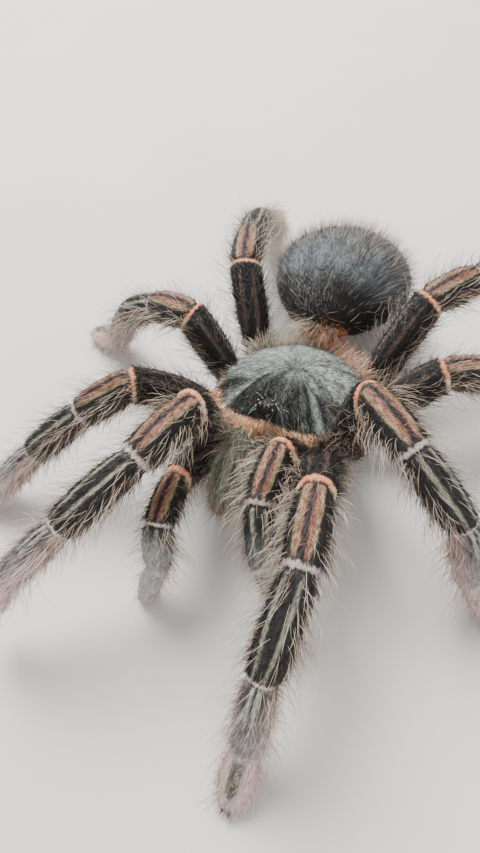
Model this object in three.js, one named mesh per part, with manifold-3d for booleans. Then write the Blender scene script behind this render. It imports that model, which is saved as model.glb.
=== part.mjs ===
// A life-size tarantula standing with its right front foot lifted: carapace, abdomen, chelicerae
// with their fangs, two palps and eight legs, each limb in its own segments. Millimetres, +Z up, the
// head towards -Y, the animal's left towards +X, and the floor at z = 0 under the model's middle.
import * as THREE from "three";
import { mergeVertices } from "three/addons/utils/BufferGeometryUtils.js";
import Module from "manifold-3d";

const wasm = await Module();
wasm.setup();

// ---- Driving dimensions ----
const CARAPACE_LENGTH = 34;
const CARAPACE_WIDTH = 0.97 * CARAPACE_LENGTH;
const CARAPACE_HEIGHT = 0.22 * CARAPACE_LENGTH;
const MARGIN_THICKNESS = 1.2;
const BODY_HEIGHT = 0.44 * CARAPACE_LENGTH; // the carapace's margin above the floor
const NOSE_UP = 10; // degrees
const JOINT_GAP = 0.3; // between one plate and the next
const FEET_LEVEL = 0;

// Lengths of the limb segments, as shares of the carapace.
const LENGTHS = {
  palp: { femur: 0.51, patella: 0.33, tibia: 0.37, tarsus: 0.28 },
  leg_1: { femur: 0.74, patella: 0.42, tibia: 0.56, metatarsus: 0.49, tarsus: 0.25 },
  leg_2: { femur: 0.67, patella: 0.39, tibia: 0.48, metatarsus: 0.47, tarsus: 0.26 },
  leg_3: { femur: 0.6, patella: 0.34, tibia: 0.41, metatarsus: 0.49, tarsus: 0.26 },
  leg_4: { femur: 0.73, patella: 0.38, tibia: 0.54, metatarsus: 0.7, tarsus: 0.29 },
};

// Where each limb leaves its coxa, and where that coxa begins beside the sternum: shares of the
// carapace, outwards, back and up from the middle of its margin.
const HIPS = {
  palp: { hip: [0.315, -0.49, -0.16], root: [0.15, -0.26, -0.15] },
  leg_1: { hip: [0.43, -0.385, -0.14], root: [0.13, -0.13, -0.14] },
  leg_2: { hip: [0.5, -0.21, -0.14], root: [0.15, -0.03, -0.14] },
  leg_3: { hip: [0.52, 0.1, -0.14], root: [0.15, 0.08, -0.14] },
  leg_4: { hip: [0.43, 0.4, -0.14], root: [0.12, 0.18, -0.14] },
};

const LIMBS = Object.keys(HIPS);

// Each limb's pose in degrees, one pair for each segment from the femur out: the way it points,
// turned outwards from straight ahead, and its rise above the level. A metatarsus without a rise of
// its own slopes as far as the foot needs to reach the floor: only the right front foot is lifted.
const POSE = {
  left_palp: [[-22, 67], [4, -6], [25, -50], [66, -44]],
  right_palp: [[2, 26], [-13, 10], [14, -73], [32, -56]],
  left_leg_1: [[13, 46], [12, 0], [-2, -32], [-2], [1, -32]],
  right_leg_1: [[-26, 62], [19, -4], [30, -17], [40, -33], [41, -49]],
  left_leg_2: [[70, 78], [52, -5], [66, -39], [64], [63, -34]],
  right_leg_2: [[48, 45], [49, -22], [48, -30], [47], [47, -18]],
  left_leg_3: [[122, 38], [122, -16], [118, -20], [118], [118, -16]],
  right_leg_3: [[99, 66], [99, -12], [98, -33], [101], [102, -12]],
  left_leg_4: [[150, 48], [145, -3], [143, -20], [143], [143, -15]],
  right_leg_4: [[148, 64], [162, -7], [161, -24], [161], [161, -20]],
};

// Half widths in mm along a segment out to the tips of its short coat: at its near joint, its fullest
// part and its far joint. Then how much taller than wide it is, where it is fullest, how far its back
// is bowed, and the rings it is faceted in.
const GIRTHS = {
  femur: { near: 3.3, full: 4.6, far: 4.5, tall: 1.16, at: 0.6, bow: 0.9, rings: 4 },
  patella: { near: 4.3, full: 4.65, far: 4.2, tall: 1.1, at: 0.55, bow: 0.3, rings: 3 },
  tibia: { near: 4.1, full: 4.5, far: 3.9, tall: 1.02, at: 0.5, bow: 0.3, rings: 3 },
  metatarsus: { near: 3.8, full: 4.25, far: 3.9, tall: 0.94, at: 0.4, bow: 0.2, rings: 3 },
  tarsus: { near: 3.8, full: 4.5, far: 3.8, tall: 0.74, at: 0.6, bow: 0.1, rings: 3 },
};
const PALP_GIRTH = 0.86; // a palp's girth beside a leg's
const SOLE_SHARE = 0.82; // how much of a foot's tip stands above the floor
const COXA_GIRTH = { near: 3.2, full: 4.1, far: 3.5, tall: 1, at: 0.5, bow: 0 };

// How finely the segments are faceted.
const RING_SIDES = 9;
const CAP_RINGS = 2;
const COXA_MESH = { sides: 6, rings: 2, capRings: 1 };

// ---- Colours ----
const finish = (color, roughness) => new THREE.MeshStandardMaterial({ color, roughness, metalness: 0 });
const FINISHES = {
  velvet: finish(0x2b2724, 0.9),
  carapace: finish(0x39413c, 0.8),
  abdomen: finish(0x45474a, 0.95),
  underside: finish(0x241d1a, 0.9),
  chelicera: finish(0x343a33, 0.85),
  fang: finish(0x0d0908, 0.25),
  eye: finish(0x16110e, 0.3),
};

// ---- Solids ----
const radians = THREE.MathUtils.degToRad;

function solidOf(geometry, matrix = new THREE.Matrix4()) {
  const plain = new THREE.BufferGeometry()
    .setAttribute("position", geometry.getAttribute("position").clone())
    .setIndex(geometry.index);
  const merged = mergeVertices(plain.applyMatrix4(matrix), 1e-4);
  return new wasm.Manifold(
    new wasm.Mesh({
      numProp: 3,
      vertProperties: merged.attributes.position.array,
      triVerts: new Uint32Array(merged.index.array),
    }),
  );
}

function geometryOf(solid) {
  const { vertProperties, triVerts } = solid.getMesh();
  const geometry = new THREE.BufferGeometry()
    .setAttribute("position", new THREE.BufferAttribute(vertProperties.slice(), 3))
    .setIndex(new THREE.BufferAttribute(triVerts.slice(), 1));
  geometry.computeVertexNormals();
  return geometry;
}

// A named mesh at a frame of its own, from a solid given in the model's frame.
function meshOf(name, solid, material, frame = new THREE.Matrix4()) {
  const inverse = frame.clone().invert();
  const mesh = new THREE.Mesh(geometryOf(solid.transform(inverse.toArray())), material);
  mesh.name = name;
  mesh.position.setFromMatrixPosition(frame);
  mesh.quaternion.setFromRotationMatrix(frame);
  return mesh;
}

// What is left of a solid once it is cut, without its loose slivers.
function mainBody(solid) {
  return solid.decompose().reduce((best, body) => (body.volume() > best.volume() ? body : best));
}

// Cuts room for a neighbour and a gap beyond it, on the side that the solid lies on.
function makeRoom(solid, neighbour, gap = JOINT_GAP) {
  const [own, other] = [solid, neighbour].map((s) => {
    const { min, max } = s.boundingBox();
    return new THREE.Vector3(...min).add(new THREE.Vector3(...max));
  });
  if (solid.intersect(neighbour).isEmpty()) return solid;
  const shift = own.sub(other).setLength(gap);
  return mainBody(solid.subtract(neighbour).subtract(neighbour.translate(shift.toArray())));
}

// Keeps what lies on the far side of a plane: beyond point, in the direction of normal.
function keepBeyond(solid, point, normal, margin = JOINT_GAP / 2) {
  const n = normal.clone().normalize();
  return solid.trimByPlane(n.toArray(), n.dot(point) + margin);
}

// Half width at a share t of the way along a segment.
function girthAt({ near, full, far, at }, t) {
  const end = t < at ? near : far;
  const away = t < at ? (at - t) / at : (t - at) / (1 - at);
  return end + (full - end) * Math.cos((away * Math.PI) / 2) ** 0.8;
}

// A limb segment about its own +Y, from a ball at the near joint to a ball at the far one, with its
// back towards +Z. The neighbour's half of each ball is cut away later.
function segmentSolid(length, girth, scale = 1, mesh = {}) {
  const { sides = RING_SIDES, rings = girth.rings, capRings = CAP_RINGS } = mesh;
  const outline = [];
  const ball = (radius, centre, from, to) => {
    for (let i = 0; i <= capRings; i++) {
      const a = from + ((to - from) * i) / capRings;
      outline.push(new THREE.Vector2(Math.abs(radius * Math.cos(a)), centre + radius * Math.sin(a)));
    }
  };
  ball(girth.near * scale, 0, -Math.PI / 2, 0);
  for (let i = 1; i < rings; i++) {
    const t = i / rings;
    outline.push(new THREE.Vector2(girthAt(girth, t) * scale, t * length));
  }
  ball(girth.far * scale, length, 0, Math.PI / 2);
  outline[0].x = 0;
  outline[outline.length - 1].x = 0;
  const geometry = new THREE.LatheGeometry(outline, sides);
  const place = geometry.getAttribute("position");
  for (let i = 0; i < place.count; i++) {
    const t = THREE.MathUtils.clamp(place.getY(i) / length, 0, 1);
    place.setZ(i, place.getZ(i) * girth.tall + girth.bow * 4 * t * (1 - t));
  }
  return solidOf(geometry);
}

// The way a limb segment points: turned outwards from straight ahead, and raised.
function heading(side, turn, rise) {
  const [t, r] = [radians(turn), radians(rise)];
  return new THREE.Vector3(side * Math.sin(t) * Math.cos(r), -Math.cos(t) * Math.cos(r), Math.sin(r));
}

// A frame at a joint, with +Y along the segment and its back as high as it can be.
function frameAt(origin, along) {
  const across = new THREE.Vector3().crossVectors(along, new THREE.Vector3(0, 0, 1)).normalize();
  const back = new THREE.Vector3().crossVectors(across, along);
  return new THREE.Matrix4().makeBasis(across, along, back).setPosition(origin);
}

// ---- The prosoma, in its own frame: origin at the middle of the carapace's margin ----
const prosoma = new THREE.Group();
prosoma.position.set(0, 0, BODY_HEIGHT);
prosoma.rotation.x = -radians(NOSE_UP);
prosoma.updateMatrixWorld(true);

const share = (x, y, z) => new THREE.Vector3(x, y, z).multiplyScalar(CARAPACE_LENGTH);

// The carapace seen from above: an oval behind, and narrower with square corners at the head.
const HEAD = { reach: 0.455 * CARAPACE_LENGTH, square: 0.62, narrower: 0.12, brow: 1.6, browHalf: 7 };

function carapaceEdge(angle) {
  const [ahead, aside] = [Math.max(0, Math.cos(angle)), Math.sin(angle)];
  const power = ahead > 0 ? HEAD.square : 1;
  const wide = (CARAPACE_WIDTH / 2) * (1 - HEAD.narrower * ahead ** 2);
  const y = ahead > 0 ? -HEAD.reach * ahead ** power : -Math.cos(angle) * (CARAPACE_LENGTH / 2);
  return [Math.sign(aside) * Math.abs(aside) ** power * wide, y];
}

// The margin's thickness: the brow over the chelicerae is the deepest.
function marginAt(x, y) {
  const front = THREE.MathUtils.smoothstep(-y, 0.5 * HEAD.reach, HEAD.reach);
  return MARGIN_THICKNESS + HEAD.brow * front * Math.exp(-((x / HEAD.browHalf) ** 2));
}

// Its height over the margin, at a share of the way out to the edge.
function carapaceRise(x, y, out) {
  const [u, v] = [x / (CARAPACE_WIDTH / 2), y / (CARAPACE_LENGTH / 2)];
  const dome = (1 - out ** 2.6) * 0.78;
  const head = 0.3 * Math.exp(-((u / 0.42) ** 2) - ((v + 0.5) / 0.42) ** 2) * (1 - out ** 6);
  const fovea = 0.16 * Math.exp(-((u / 0.16) ** 2) - ((v - 0.16) / 0.07) ** 2);
  const furrow = 0.06 * Math.cos(8 * Math.atan2(u, v - 0.16)) * out * (1 - out) * 4;
  return (dome + head - fovea - furrow) * CARAPACE_HEIGHT;
}

function carapaceSolid() {
  const around = 26;
  const steps = [1, 0.93, 0.8, 0.62, 0.44, 0.26, 0.12, 0];
  const outline = [new THREE.Vector2(0, -1), new THREE.Vector2(1, -1)];
  steps.forEach((r) => outline.push(new THREE.Vector2(r, 0)));
  const geometry = new THREE.LatheGeometry(outline, around);
  const place = geometry.getAttribute("position");
  for (let i = 0; i < place.count; i++) {
    const [px, below, pz] = [place.getX(i), place.getY(i) < -0.5, place.getZ(i)];
    const out = Math.hypot(px, pz);
    const [ex, ey] = carapaceEdge(Math.atan2(px, pz));
    const [x, y] = [ex * out, ey * out];
    const top = marginAt(x, y) + carapaceRise(x, y, Math.min(out, 1));
    place.setXYZ(i, x, y, below ? 0 : top);
  }
  return solidOf(geometry);
}

// The low mound near the front edge that carries the eight eyes.
const TUBERCLE = { centre: share(0, -0.395, 0.215), half: [2.7, 2.0, 1.7] };
const EYES = [
  { at: [0.9, -0.9, 1.15], r: 0.62 },
  { at: [1.9, -1.05, 0.45], r: 0.5 },
  { at: [2.05, 0.55, 0.6], r: 0.5 },
  { at: [1.15, 0.75, 1.3], r: 0.36 },
];

function tubercleSolid(carapace) {
  const ball = (r, at, stretch = [1, 1, 1], sides = 6) => {
    const matrix = new THREE.Matrix4()
      .makeTranslation(...at)
      .multiply(new THREE.Matrix4().makeScale(...stretch));
    return solidOf(new THREE.SphereGeometry(r, sides, sides / 2), matrix);
  };
  let mound = ball(1, TUBERCLE.centre.toArray(), TUBERCLE.half, 10);
  for (const side of [-1, 1])
    for (const { at, r } of EYES) {
      const place = TUBERCLE.centre.clone().add(new THREE.Vector3(side * at[0], at[1], at[2]));
      mound = mound.add(ball(r, place.toArray()));
    }
  const lowered = carapace.translate([0, 0, JOINT_GAP]);
  return mainBody(mound.subtract(lowered));
}

const sideName = (side) => (side > 0 ? "left" : "right");
const hipOf = (limb, side) => share(side * HIPS[limb].hip[0], HIPS[limb].hip[1], HIPS[limb].hip[2]);
const rootOf = (limb, side) => share(side * HIPS[limb].root[0], HIPS[limb].root[1], HIPS[limb].root[2]);

// A coxa: a short barrel from beside the sternum to the hip.
function coxaSolid(limb, side) {
  const from = rootOf(limb, side);
  const along = hipOf(limb, side).sub(from);
  const slim = limb === "palp" ? PALP_GIRTH : 1;
  const solid = segmentSolid(along.length(), COXA_GIRTH, slim, COXA_MESH);
  return solid.transform(frameAt(from, along.normalize()).toArray());
}

// Beneath: the sternum, a shield between the coxae, and the small labium ahead of it.
const STERNUM = { half: [0.21, 0.25], centre: [0, -0.01], top: -0.17, bottom: -0.265 };
const LABIUM = { half: [0.075, 0.055], centre: [0, -0.3] };

function plate(half, centre, top, bottom, grow = 0, sides = 16) {
  const geometry = new THREE.CylinderGeometry(1, 0.86, 1, sides).rotateX(Math.PI / 2);
  const height = (top - bottom) * CARAPACE_LENGTH + 2 * grow;
  const matrix = new THREE.Matrix4()
    .makeTranslation(...share(centre[0], centre[1], (top + bottom) / 2).toArray())
    .multiply(
      new THREE.Matrix4().makeScale(
        half[0] * CARAPACE_LENGTH + grow,
        half[1] * CARAPACE_LENGTH + grow,
        height,
      ),
    );
  return solidOf(geometry, matrix);
}

function sternumSolid(grow = 0) {
  const { half, centre, top, bottom } = STERNUM;
  const shield = plate(half, centre, top, bottom, grow);
  return shield.add(plate(LABIUM.half, LABIUM.centre, top, bottom + 0.01, grow, 12));
}

// Chelicerae: stout, side by side, forwards and down from under the carapace's front edge.
const CHELICERA = { half: 0.13, length: 0.48, tall: 1.3, toe: 0, drop: 36, at: [0.136, -0.42, -0.04] };

function cheliceraFrame(side) {
  const { at, toe, drop } = CHELICERA;
  return frameAt(share(side * at[0], at[1], at[2]), heading(side, toe, -drop));
}

function cheliceraSolid(side) {
  const { half, length, tall } = CHELICERA;
  const wide = half * CARAPACE_LENGTH;
  const girth = { near: wide * 0.82, full: wide, far: wide * 0.74, tall, at: 0.45, bow: 1.3, rings: 4 };
  const barrel = segmentSolid(length * CARAPACE_LENGTH, girth);
  return barrel.transform(cheliceraFrame(side).toArray());
}

// A fang: a curved cone, hinged at the end of its chelicera and folded back under it.
const FANG = { root: 1.7, length: 9.5, bend: 52, tip: 0.3, ahead: 1.2, below: 2.6, fold: 132 };

function fangSolid(side, chelicera) {
  const rings = 5;
  const outline = [new THREE.Vector2(0, 0)];
  for (let i = 0; i <= rings; i++) {
    const t = i / rings;
    outline.push(new THREE.Vector2(THREE.MathUtils.lerp(FANG.root, FANG.tip, t ** 0.9), t * FANG.length));
  }
  outline.push(new THREE.Vector2(0, FANG.length));
  const geometry = new THREE.LatheGeometry(outline, 8);
  const place = geometry.getAttribute("position");
  const sweep = radians(FANG.bend);
  const radius = FANG.length / sweep;
  for (let i = 0; i < place.count; i++) {
    const a = (place.getY(i) / FANG.length) * sweep;
    const out = radius + place.getZ(i);
    place.setXYZ(i, place.getX(i), out * Math.sin(a), out * Math.cos(a) - radius);
  }
  const end = new THREE.Vector3(0, CHELICERA.length * CARAPACE_LENGTH + FANG.ahead, -FANG.below);
  const hinge = new THREE.Matrix4().makeTranslation(...end.toArray());
  const folded = new THREE.Matrix4().makeRotationX(radians(-FANG.fold));
  const fang = solidOf(geometry, cheliceraFrame(side).multiply(hinge).multiply(folded));
  const room = chelicera.translate([0, 0, -JOINT_GAP]).add(chelicera.translate([0, -JOINT_GAP, 0]));
  return mainBody(fang.subtract(room));
}

// ---- The abdomen, level on its stalk ----
const ABDOMEN = { half: [0.53, 0.5, 0.37], centre: [-0.04, 1.05, 0.07], back: 0.12 };
const PEDICEL = { half: 0.09, from: 0.46, level: -0.15 };

function abdomenSolid() {
  const geometry = new THREE.SphereGeometry(1, 20, 11).rotateX(Math.PI / 2);
  const place = geometry.getAttribute("position");
  for (let i = 0; i < place.count; i++) {
    const [x, y, z] = [place.getX(i), place.getY(i), place.getZ(i)];
    const wide = 1 + ABDOMEN.back * y - 0.06 * y * y;
    const low = z < 0 ? 0.92 : 1;
    place.setXYZ(i, x * wide, y, z * wide * low);
  }
  const matrix = new THREE.Matrix4()
    .makeTranslation(...share(...ABDOMEN.centre).toArray())
    .multiply(new THREE.Matrix4().makeScale(...share(...ABDOMEN.half).toArray()));
  const stalkLength = (ABDOMEN.centre[1] - PEDICEL.from) * CARAPACE_LENGTH;
  const stalk = new THREE.CylinderGeometry(
    PEDICEL.half * CARAPACE_LENGTH,
    PEDICEL.half * CARAPACE_LENGTH,
    stalkLength,
    12,
  ).translate(0, PEDICEL.from * CARAPACE_LENGTH + stalkLength / 2, PEDICEL.level * CARAPACE_LENGTH);
  return solidOf(geometry, matrix).add(solidOf(stalk));
}

const SPINNERET = { length: 6, at: [1.4, 1.48, -0.09], turn: 167, rise: 14 };

function spinneretSolid(side, abdomen) {
  const girth = { near: 1.3, full: 1.35, far: 0.85, tall: 1, at: 0.4, bow: 0 };
  const from = new THREE.Vector3(
    side * SPINNERET.at[0] + ABDOMEN.centre[0] * CARAPACE_LENGTH,
    SPINNERET.at[1] * CARAPACE_LENGTH,
    SPINNERET.at[2] * CARAPACE_LENGTH,
  );
  const along = heading(side, SPINNERET.turn, SPINNERET.rise);
  const solid = segmentSolid(SPINNERET.length, girth, 1, COXA_MESH);
  const placed = solid.transform(frameAt(from, along).toArray());
  return mainBody(placed.subtract(abdomen.translate([0, JOINT_GAP, 0])));
}

// ---- Limbs ----
const SEGMENTS = {
  palp: ["femur", "patella", "tibia", "tarsus"],
  leg: ["femur", "patella", "tibia", "metatarsus", "tarsus"],
};
// The rise of each segment, with the metatarsus let down until the foot is on the floor.
function risesOf(limb, pose, lengths, hipHeight) {
  const rises = pose.map(([, rise]) => rise);
  const free = rises.indexOf(undefined);
  if (free < 0) return rises;
  const { far, tall } = GIRTHS.tarsus;
  const climb = rises.reduce((sum, r, i) => (i === free ? sum : sum + lengths[i] * Math.sin(radians(r))), 0);
  const drop = (FEET_LEVEL + far * tall * SOLE_SHARE - hipHeight - climb) / lengths[free];
  if (Math.abs(drop) > 1) throw new Error(`${limb} can't reach the floor`);
  rises[free] = THREE.MathUtils.radToDeg(Math.asin(drop));
  return rises;
}

// A limb's segments in the model's frame, cut across the middle of the bend at each joint.
function limbPieces(limb, side) {
  const label = `${sideName(side)}_${limb}`;
  const names = limb === "palp" ? SEGMENTS.palp : SEGMENTS.leg;
  const lengths = names.map((name) => LENGTHS[limb][name] * CARAPACE_LENGTH);
  const hip = hipOf(limb, side).applyMatrix4(prosoma.matrixWorld);
  const coxa = hipOf(limb, side).sub(rootOf(limb, side)).transformDirection(prosoma.matrixWorld);
  const rises = risesOf(limb, POSE[label], lengths, hip.z);
  const ways = rises.map((rise, i) => heading(side, POSE[label][i][0], rise));
  let [joint, before] = [hip, coxa];
  return names.map((name, i) => {
    const [way, next] = [ways[i], ways[i + 1]];
    const frame = frameAt(joint, way);
    const end = joint.clone().addScaledVector(way, lengths[i]);
    const whole = segmentSolid(lengths[i], GIRTHS[name], limb === "palp" ? PALP_GIRTH : 1);
    let solid = keepBeyond(whole.transform(frame.toArray()), joint, before.clone().add(way));
    if (next) solid = keepBeyond(solid, end, way.clone().add(next).negate());
    else solid = solid.trimByPlane([0, 0, 1], FEET_LEVEL);
    [joint, before] = [end, way];
    return { name: `${label}_${name}`, frame, solid };
  });
}

// ---- The prosoma's pieces beside each other ----
// One side's coxae, cut level under the carapace and clear of the sternum and the other side.
function coxaeSolid(side) {
  const toProsoma = prosoma.matrixWorld.clone().invert();
  const barrels = LIMBS.map((limb) => {
    const hip = hipOf(limb, side);
    const femur = heading(side, ...POSE[`${sideName(side)}_${limb}`][0]).transformDirection(toProsoma);
    const away = hip.clone().sub(rootOf(limb, side)).normalize().add(femur).negate();
    return keepBeyond(coxaSolid(limb, side), hip, away);
  });
  const joined = wasm.Manifold.union(barrels);
  const apart = keepBeyond(joined, new THREE.Vector3(), new THREE.Vector3(side, 0, 0));
  const lowered = apart.trimByPlane([0, 0, -1], JOINT_GAP);
  return mainBody(lowered.subtract(sternumSolid(JOINT_GAP)));
}

// A chelicera, cut off ahead of the carapace and clear of its twin and the palp's coxa.
function cheliceraWithRoom(side, coxae) {
  const front = new THREE.Vector3(0, -HEAD.reach - JOINT_GAP, 0);
  const ahead = keepBeyond(cheliceraSolid(side), front, new THREE.Vector3(0, -1, 0), 0);
  const apart = keepBeyond(ahead, new THREE.Vector3(), new THREE.Vector3(side, 0, 0));
  return makeRoom(apart, coxae);
}

// ---- Assembly ----
const tarantula = new THREE.Group();
const limbs = new THREE.Group();
const hind = new THREE.Group();
tarantula.name = "tarantula";
hind.position.set(0, 0, BODY_HEIGHT);
hind.updateMatrixWorld(true);

const inModel = (group, solid) => solid.transform(group.matrixWorld.toArray());
const carapace = carapaceSolid();
prosoma.add(meshOf("carapace", carapace, FINISHES.carapace));
prosoma.add(meshOf("eye_tubercle", tubercleSolid(carapace), FINISHES.eye));
prosoma.add(meshOf("sternum", sternumSolid(), FINISHES.underside));

const trunk = [inModel(prosoma, carapace)];
for (const side of [-1, 1]) {
  const coxae = coxaeSolid(side);
  const chelicera = cheliceraWithRoom(side, coxae);
  const fang = fangSolid(side, chelicera);
  prosoma.add(meshOf(`${sideName(side)}_coxae`, coxae, FINISHES.underside));
  prosoma.add(meshOf(`${sideName(side)}_chelicera`, chelicera, FINISHES.chelicera));
  prosoma.add(meshOf(`${sideName(side)}_fang`, fang, FINISHES.fang));
  trunk.push(inModel(prosoma, coxae), inModel(prosoma, chelicera));
}

// The femurs start close together, so each gives way to what already stands beside it.
for (const side of [-1, 1]) {
  const beside = [...trunk];
  for (const limb of LIMBS)
    limbPieces(limb, side).forEach(({ name, frame, solid }, i) => {
      const clear = i === 0 ? beside.reduce((left, other) => makeRoom(left, other), solid) : solid;
      if (i === 0) beside.push(clear);
      limbs.add(meshOf(name, clear, FINISHES.velvet, frame));
    });
}

const toHind = hind.matrixWorld.clone().invert().toArray();
const abdomen = trunk
  .map((other) => other.transform(toHind))
  .reduce((left, other) => makeRoom(left, other), abdomenSolid());
hind.add(meshOf("abdomen", abdomen, FINISHES.abdomen));
for (const side of [-1, 1])
  hind.add(meshOf(`${sideName(side)}_spinneret`, spinneretSolid(side, abdomen), FINISHES.abdomen));
tarantula.add(prosoma, limbs, hind);

// The model's origin: on the floor, under the middle of its outline.
const box = new THREE.Box3().setFromObject(tarantula, true);
const middle = box.getCenter(new THREE.Vector3());
tarantula.position.set(-middle.x, -middle.y, -box.min.z);

export default tarantula;
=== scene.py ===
"""A still, life-size model of a tarantula.

One skin covers the body and the limbs. A coat of hair grows on it, and the eyes, fangs and
claws are pieces of their own. Lengths are in metres unless a name says otherwise.
"""

import logging
import math
from dataclasses import dataclass, field
from enum import IntEnum
from typing import Callable, Optional

import bmesh
import bpy
import numpy as np
from mathutils import Matrix, Vector
from mathutils.bvhtree import BVHTree


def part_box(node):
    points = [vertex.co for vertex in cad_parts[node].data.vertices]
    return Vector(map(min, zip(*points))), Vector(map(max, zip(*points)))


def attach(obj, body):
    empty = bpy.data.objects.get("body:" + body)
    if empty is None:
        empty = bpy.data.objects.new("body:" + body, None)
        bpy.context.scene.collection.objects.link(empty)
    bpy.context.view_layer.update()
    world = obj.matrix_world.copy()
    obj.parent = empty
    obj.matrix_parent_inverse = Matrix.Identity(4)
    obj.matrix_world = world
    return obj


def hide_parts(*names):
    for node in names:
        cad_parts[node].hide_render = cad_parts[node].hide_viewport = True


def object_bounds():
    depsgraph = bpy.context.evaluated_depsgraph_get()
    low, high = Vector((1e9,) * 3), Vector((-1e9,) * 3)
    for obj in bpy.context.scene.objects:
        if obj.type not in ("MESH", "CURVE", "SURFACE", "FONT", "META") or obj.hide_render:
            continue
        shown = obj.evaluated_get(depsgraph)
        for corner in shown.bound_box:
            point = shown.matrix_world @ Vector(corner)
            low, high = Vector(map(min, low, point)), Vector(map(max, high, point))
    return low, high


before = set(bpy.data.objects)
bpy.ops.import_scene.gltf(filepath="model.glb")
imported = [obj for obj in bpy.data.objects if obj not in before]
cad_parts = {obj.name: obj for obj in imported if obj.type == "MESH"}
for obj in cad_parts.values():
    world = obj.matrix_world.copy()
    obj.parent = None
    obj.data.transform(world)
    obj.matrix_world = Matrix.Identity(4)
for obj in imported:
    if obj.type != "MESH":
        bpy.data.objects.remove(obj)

CAD_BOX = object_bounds()
LOG = logging.getLogger("tarantula")
MM = 0.001
BODY = "root"
Array = np.ndarray

# The driving sizes: the carapace's length gives every other one.
CARAPACE_LENGTH = 34 * MM
CARAPACE_WIDTH = 0.97 * CARAPACE_LENGTH
MARGIN_THICKNESS = 1.2 * MM
HEAD_REACH = 0.455 * CARAPACE_LENGTH
HEAD_SQUARE = 0.62
HEAD_NARROWER = 0.12
NOSE_UP = math.radians(10)
FOVEA_BEHIND = 0.08 * CARAPACE_LENGTH
LIMBS = ("palp", "leg_1", "leg_2", "leg_3", "leg_4")
SIDES = {"left": 1, "right": -1}


class Region(IntEnum):
    """The kinds of surface that the skin and coat tell apart."""

    FEMUR = 0
    PATELLA = 1
    TIBIA = 2
    METATARSUS = 3
    TARSUS = 4
    CARAPACE = 5
    TUBERCLE = 6
    STERNUM = 7
    COXAE = 8
    CHELICERA = 9
    ABDOMEN = 10
    SPINNERET = 11


LIMB_REGIONS = tuple(Region(i) for i in range(5))
FEET = (Region.METATARSUS, Region.TARSUS)


@dataclass(frozen=True)
class Growth:
    """How the coat grows on one region.

    depth is how far the skin lies inside the solids, in millimetres. length scales each hair,
    and pile, comb and bristle say how thickly the three main kinds of hair stand.
    """

    depth: float
    length: float
    pile: float
    comb: float
    bristle: float


GROWTH = {
    Region.FEMUR: Growth(0.75, 1.0, 0.85, 0.9, 0.6),
    Region.PATELLA: Growth(0.75, 0.95, 1.0, 0.9, 1.0),
    Region.TIBIA: Growth(0.75, 1.0, 1.0, 1.0, 1.1),
    Region.METATARSUS: Growth(0.8, 0.95, 1.15, 1.6, 1.1),
    Region.TARSUS: Growth(0.8, 0.72, 1.4, 1.8, 0.45),
    Region.CARAPACE: Growth(0.35, 0.85, 1.7, 0.12, 0.0),
    Region.TUBERCLE: Growth(0.15, 0.4, 0.5, 0.0, 0.5),
    Region.STERNUM: Growth(0.35, 0.8, 0.8, 0.7, 0.2),
    Region.COXAE: Growth(0.45, 0.9, 0.9, 0.6, 0.7),
    Region.CHELICERA: Growth(0.5, 1.0, 1.3, 1.5, 0.7),
    Region.ABDOMEN: Growth(0.75, 1.0, 1.5, 0.22, 0.06),
    Region.SPINNERET: Growth(0.3, 0.5, 1.0, 0.6, 0.2),
}


def growth(value: str, region: Array) -> Array:
    """One value of GROWTH for each of many places, by their regions."""
    return np.array([getattr(GROWTH[r], value) for r in Region])[region.astype(int)]


def unit(vectors: Array) -> Array:
    """Vectors scaled to length one."""
    return vectors / np.maximum(np.linalg.norm(vectors, axis=-1, keepdims=True), 1e-12)


def paint(red: float, green: float, blue: float) -> Array:
    """A linear colour from red, green and blue in 0 to 255 as a screen shows them."""
    share = np.array([red, green, blue]) / 255
    return np.where(share <= 0.04045, share / 12.92, ((share + 0.055) / 1.055) ** 2.4)


def smooth_step(value: Array) -> Array:
    """0 below 0, 1 above 1, and a soft rise between."""
    value = np.clip(value, 0, 1)
    return value * value * (3 - 2 * value)


def rising(value: Array, start: float, span: float) -> Array:
    """0 up to start, and a soft rise to 1 over the span after it."""
    return smooth_step((value - start) / span)


def falling(value: Array, stop: float, span: float) -> Array:
    """0 from stop on, and a soft fall from 1 over the span before it."""
    return smooth_step((stop - value) / span)


def band(value: Array, middle: Array, half: Array, soft: float) -> Array:
    """1 within half of middle, falling to 0 over soft."""
    return smooth_step((half + soft / 2 - np.abs(value - middle)) / soft)


def ripple(value: Array, seed: int, waves: int = 5) -> Array:
    """A smooth uneven wave of about -1 to 1.

    Args:
        value: where to read it; one unit is about one long wave.
        seed: which wave.
        waves: how many sines are added.

    Returns:
        The wave's height at each value.
    """
    rng = np.random.default_rng(seed)
    total = np.zeros_like(value, dtype=float)
    for k in range(waves):
        total += np.sin(value * (1 + k * 1.37) * 2 * math.pi + rng.uniform(0, 7)) / (1 + 0.5 * k)
    return total / 2


def blend(first: Array, second: Array, share: Array) -> Array:
    """Goes from the first colours to the second by a share for each point."""
    first, second = np.atleast_2d(first), np.atleast_2d(second)
    return first + (second - first) * np.asarray(share)[:, None]


def corners(node: str) -> Array:
    """A node's distinct vertices."""
    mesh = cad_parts[node].data
    co = np.zeros(len(mesh.vertices) * 3, np.float32)
    mesh.vertices.foreach_get("co", co)
    return np.unique(co.reshape(-1, 3).round(7), axis=0).astype(float)


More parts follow.
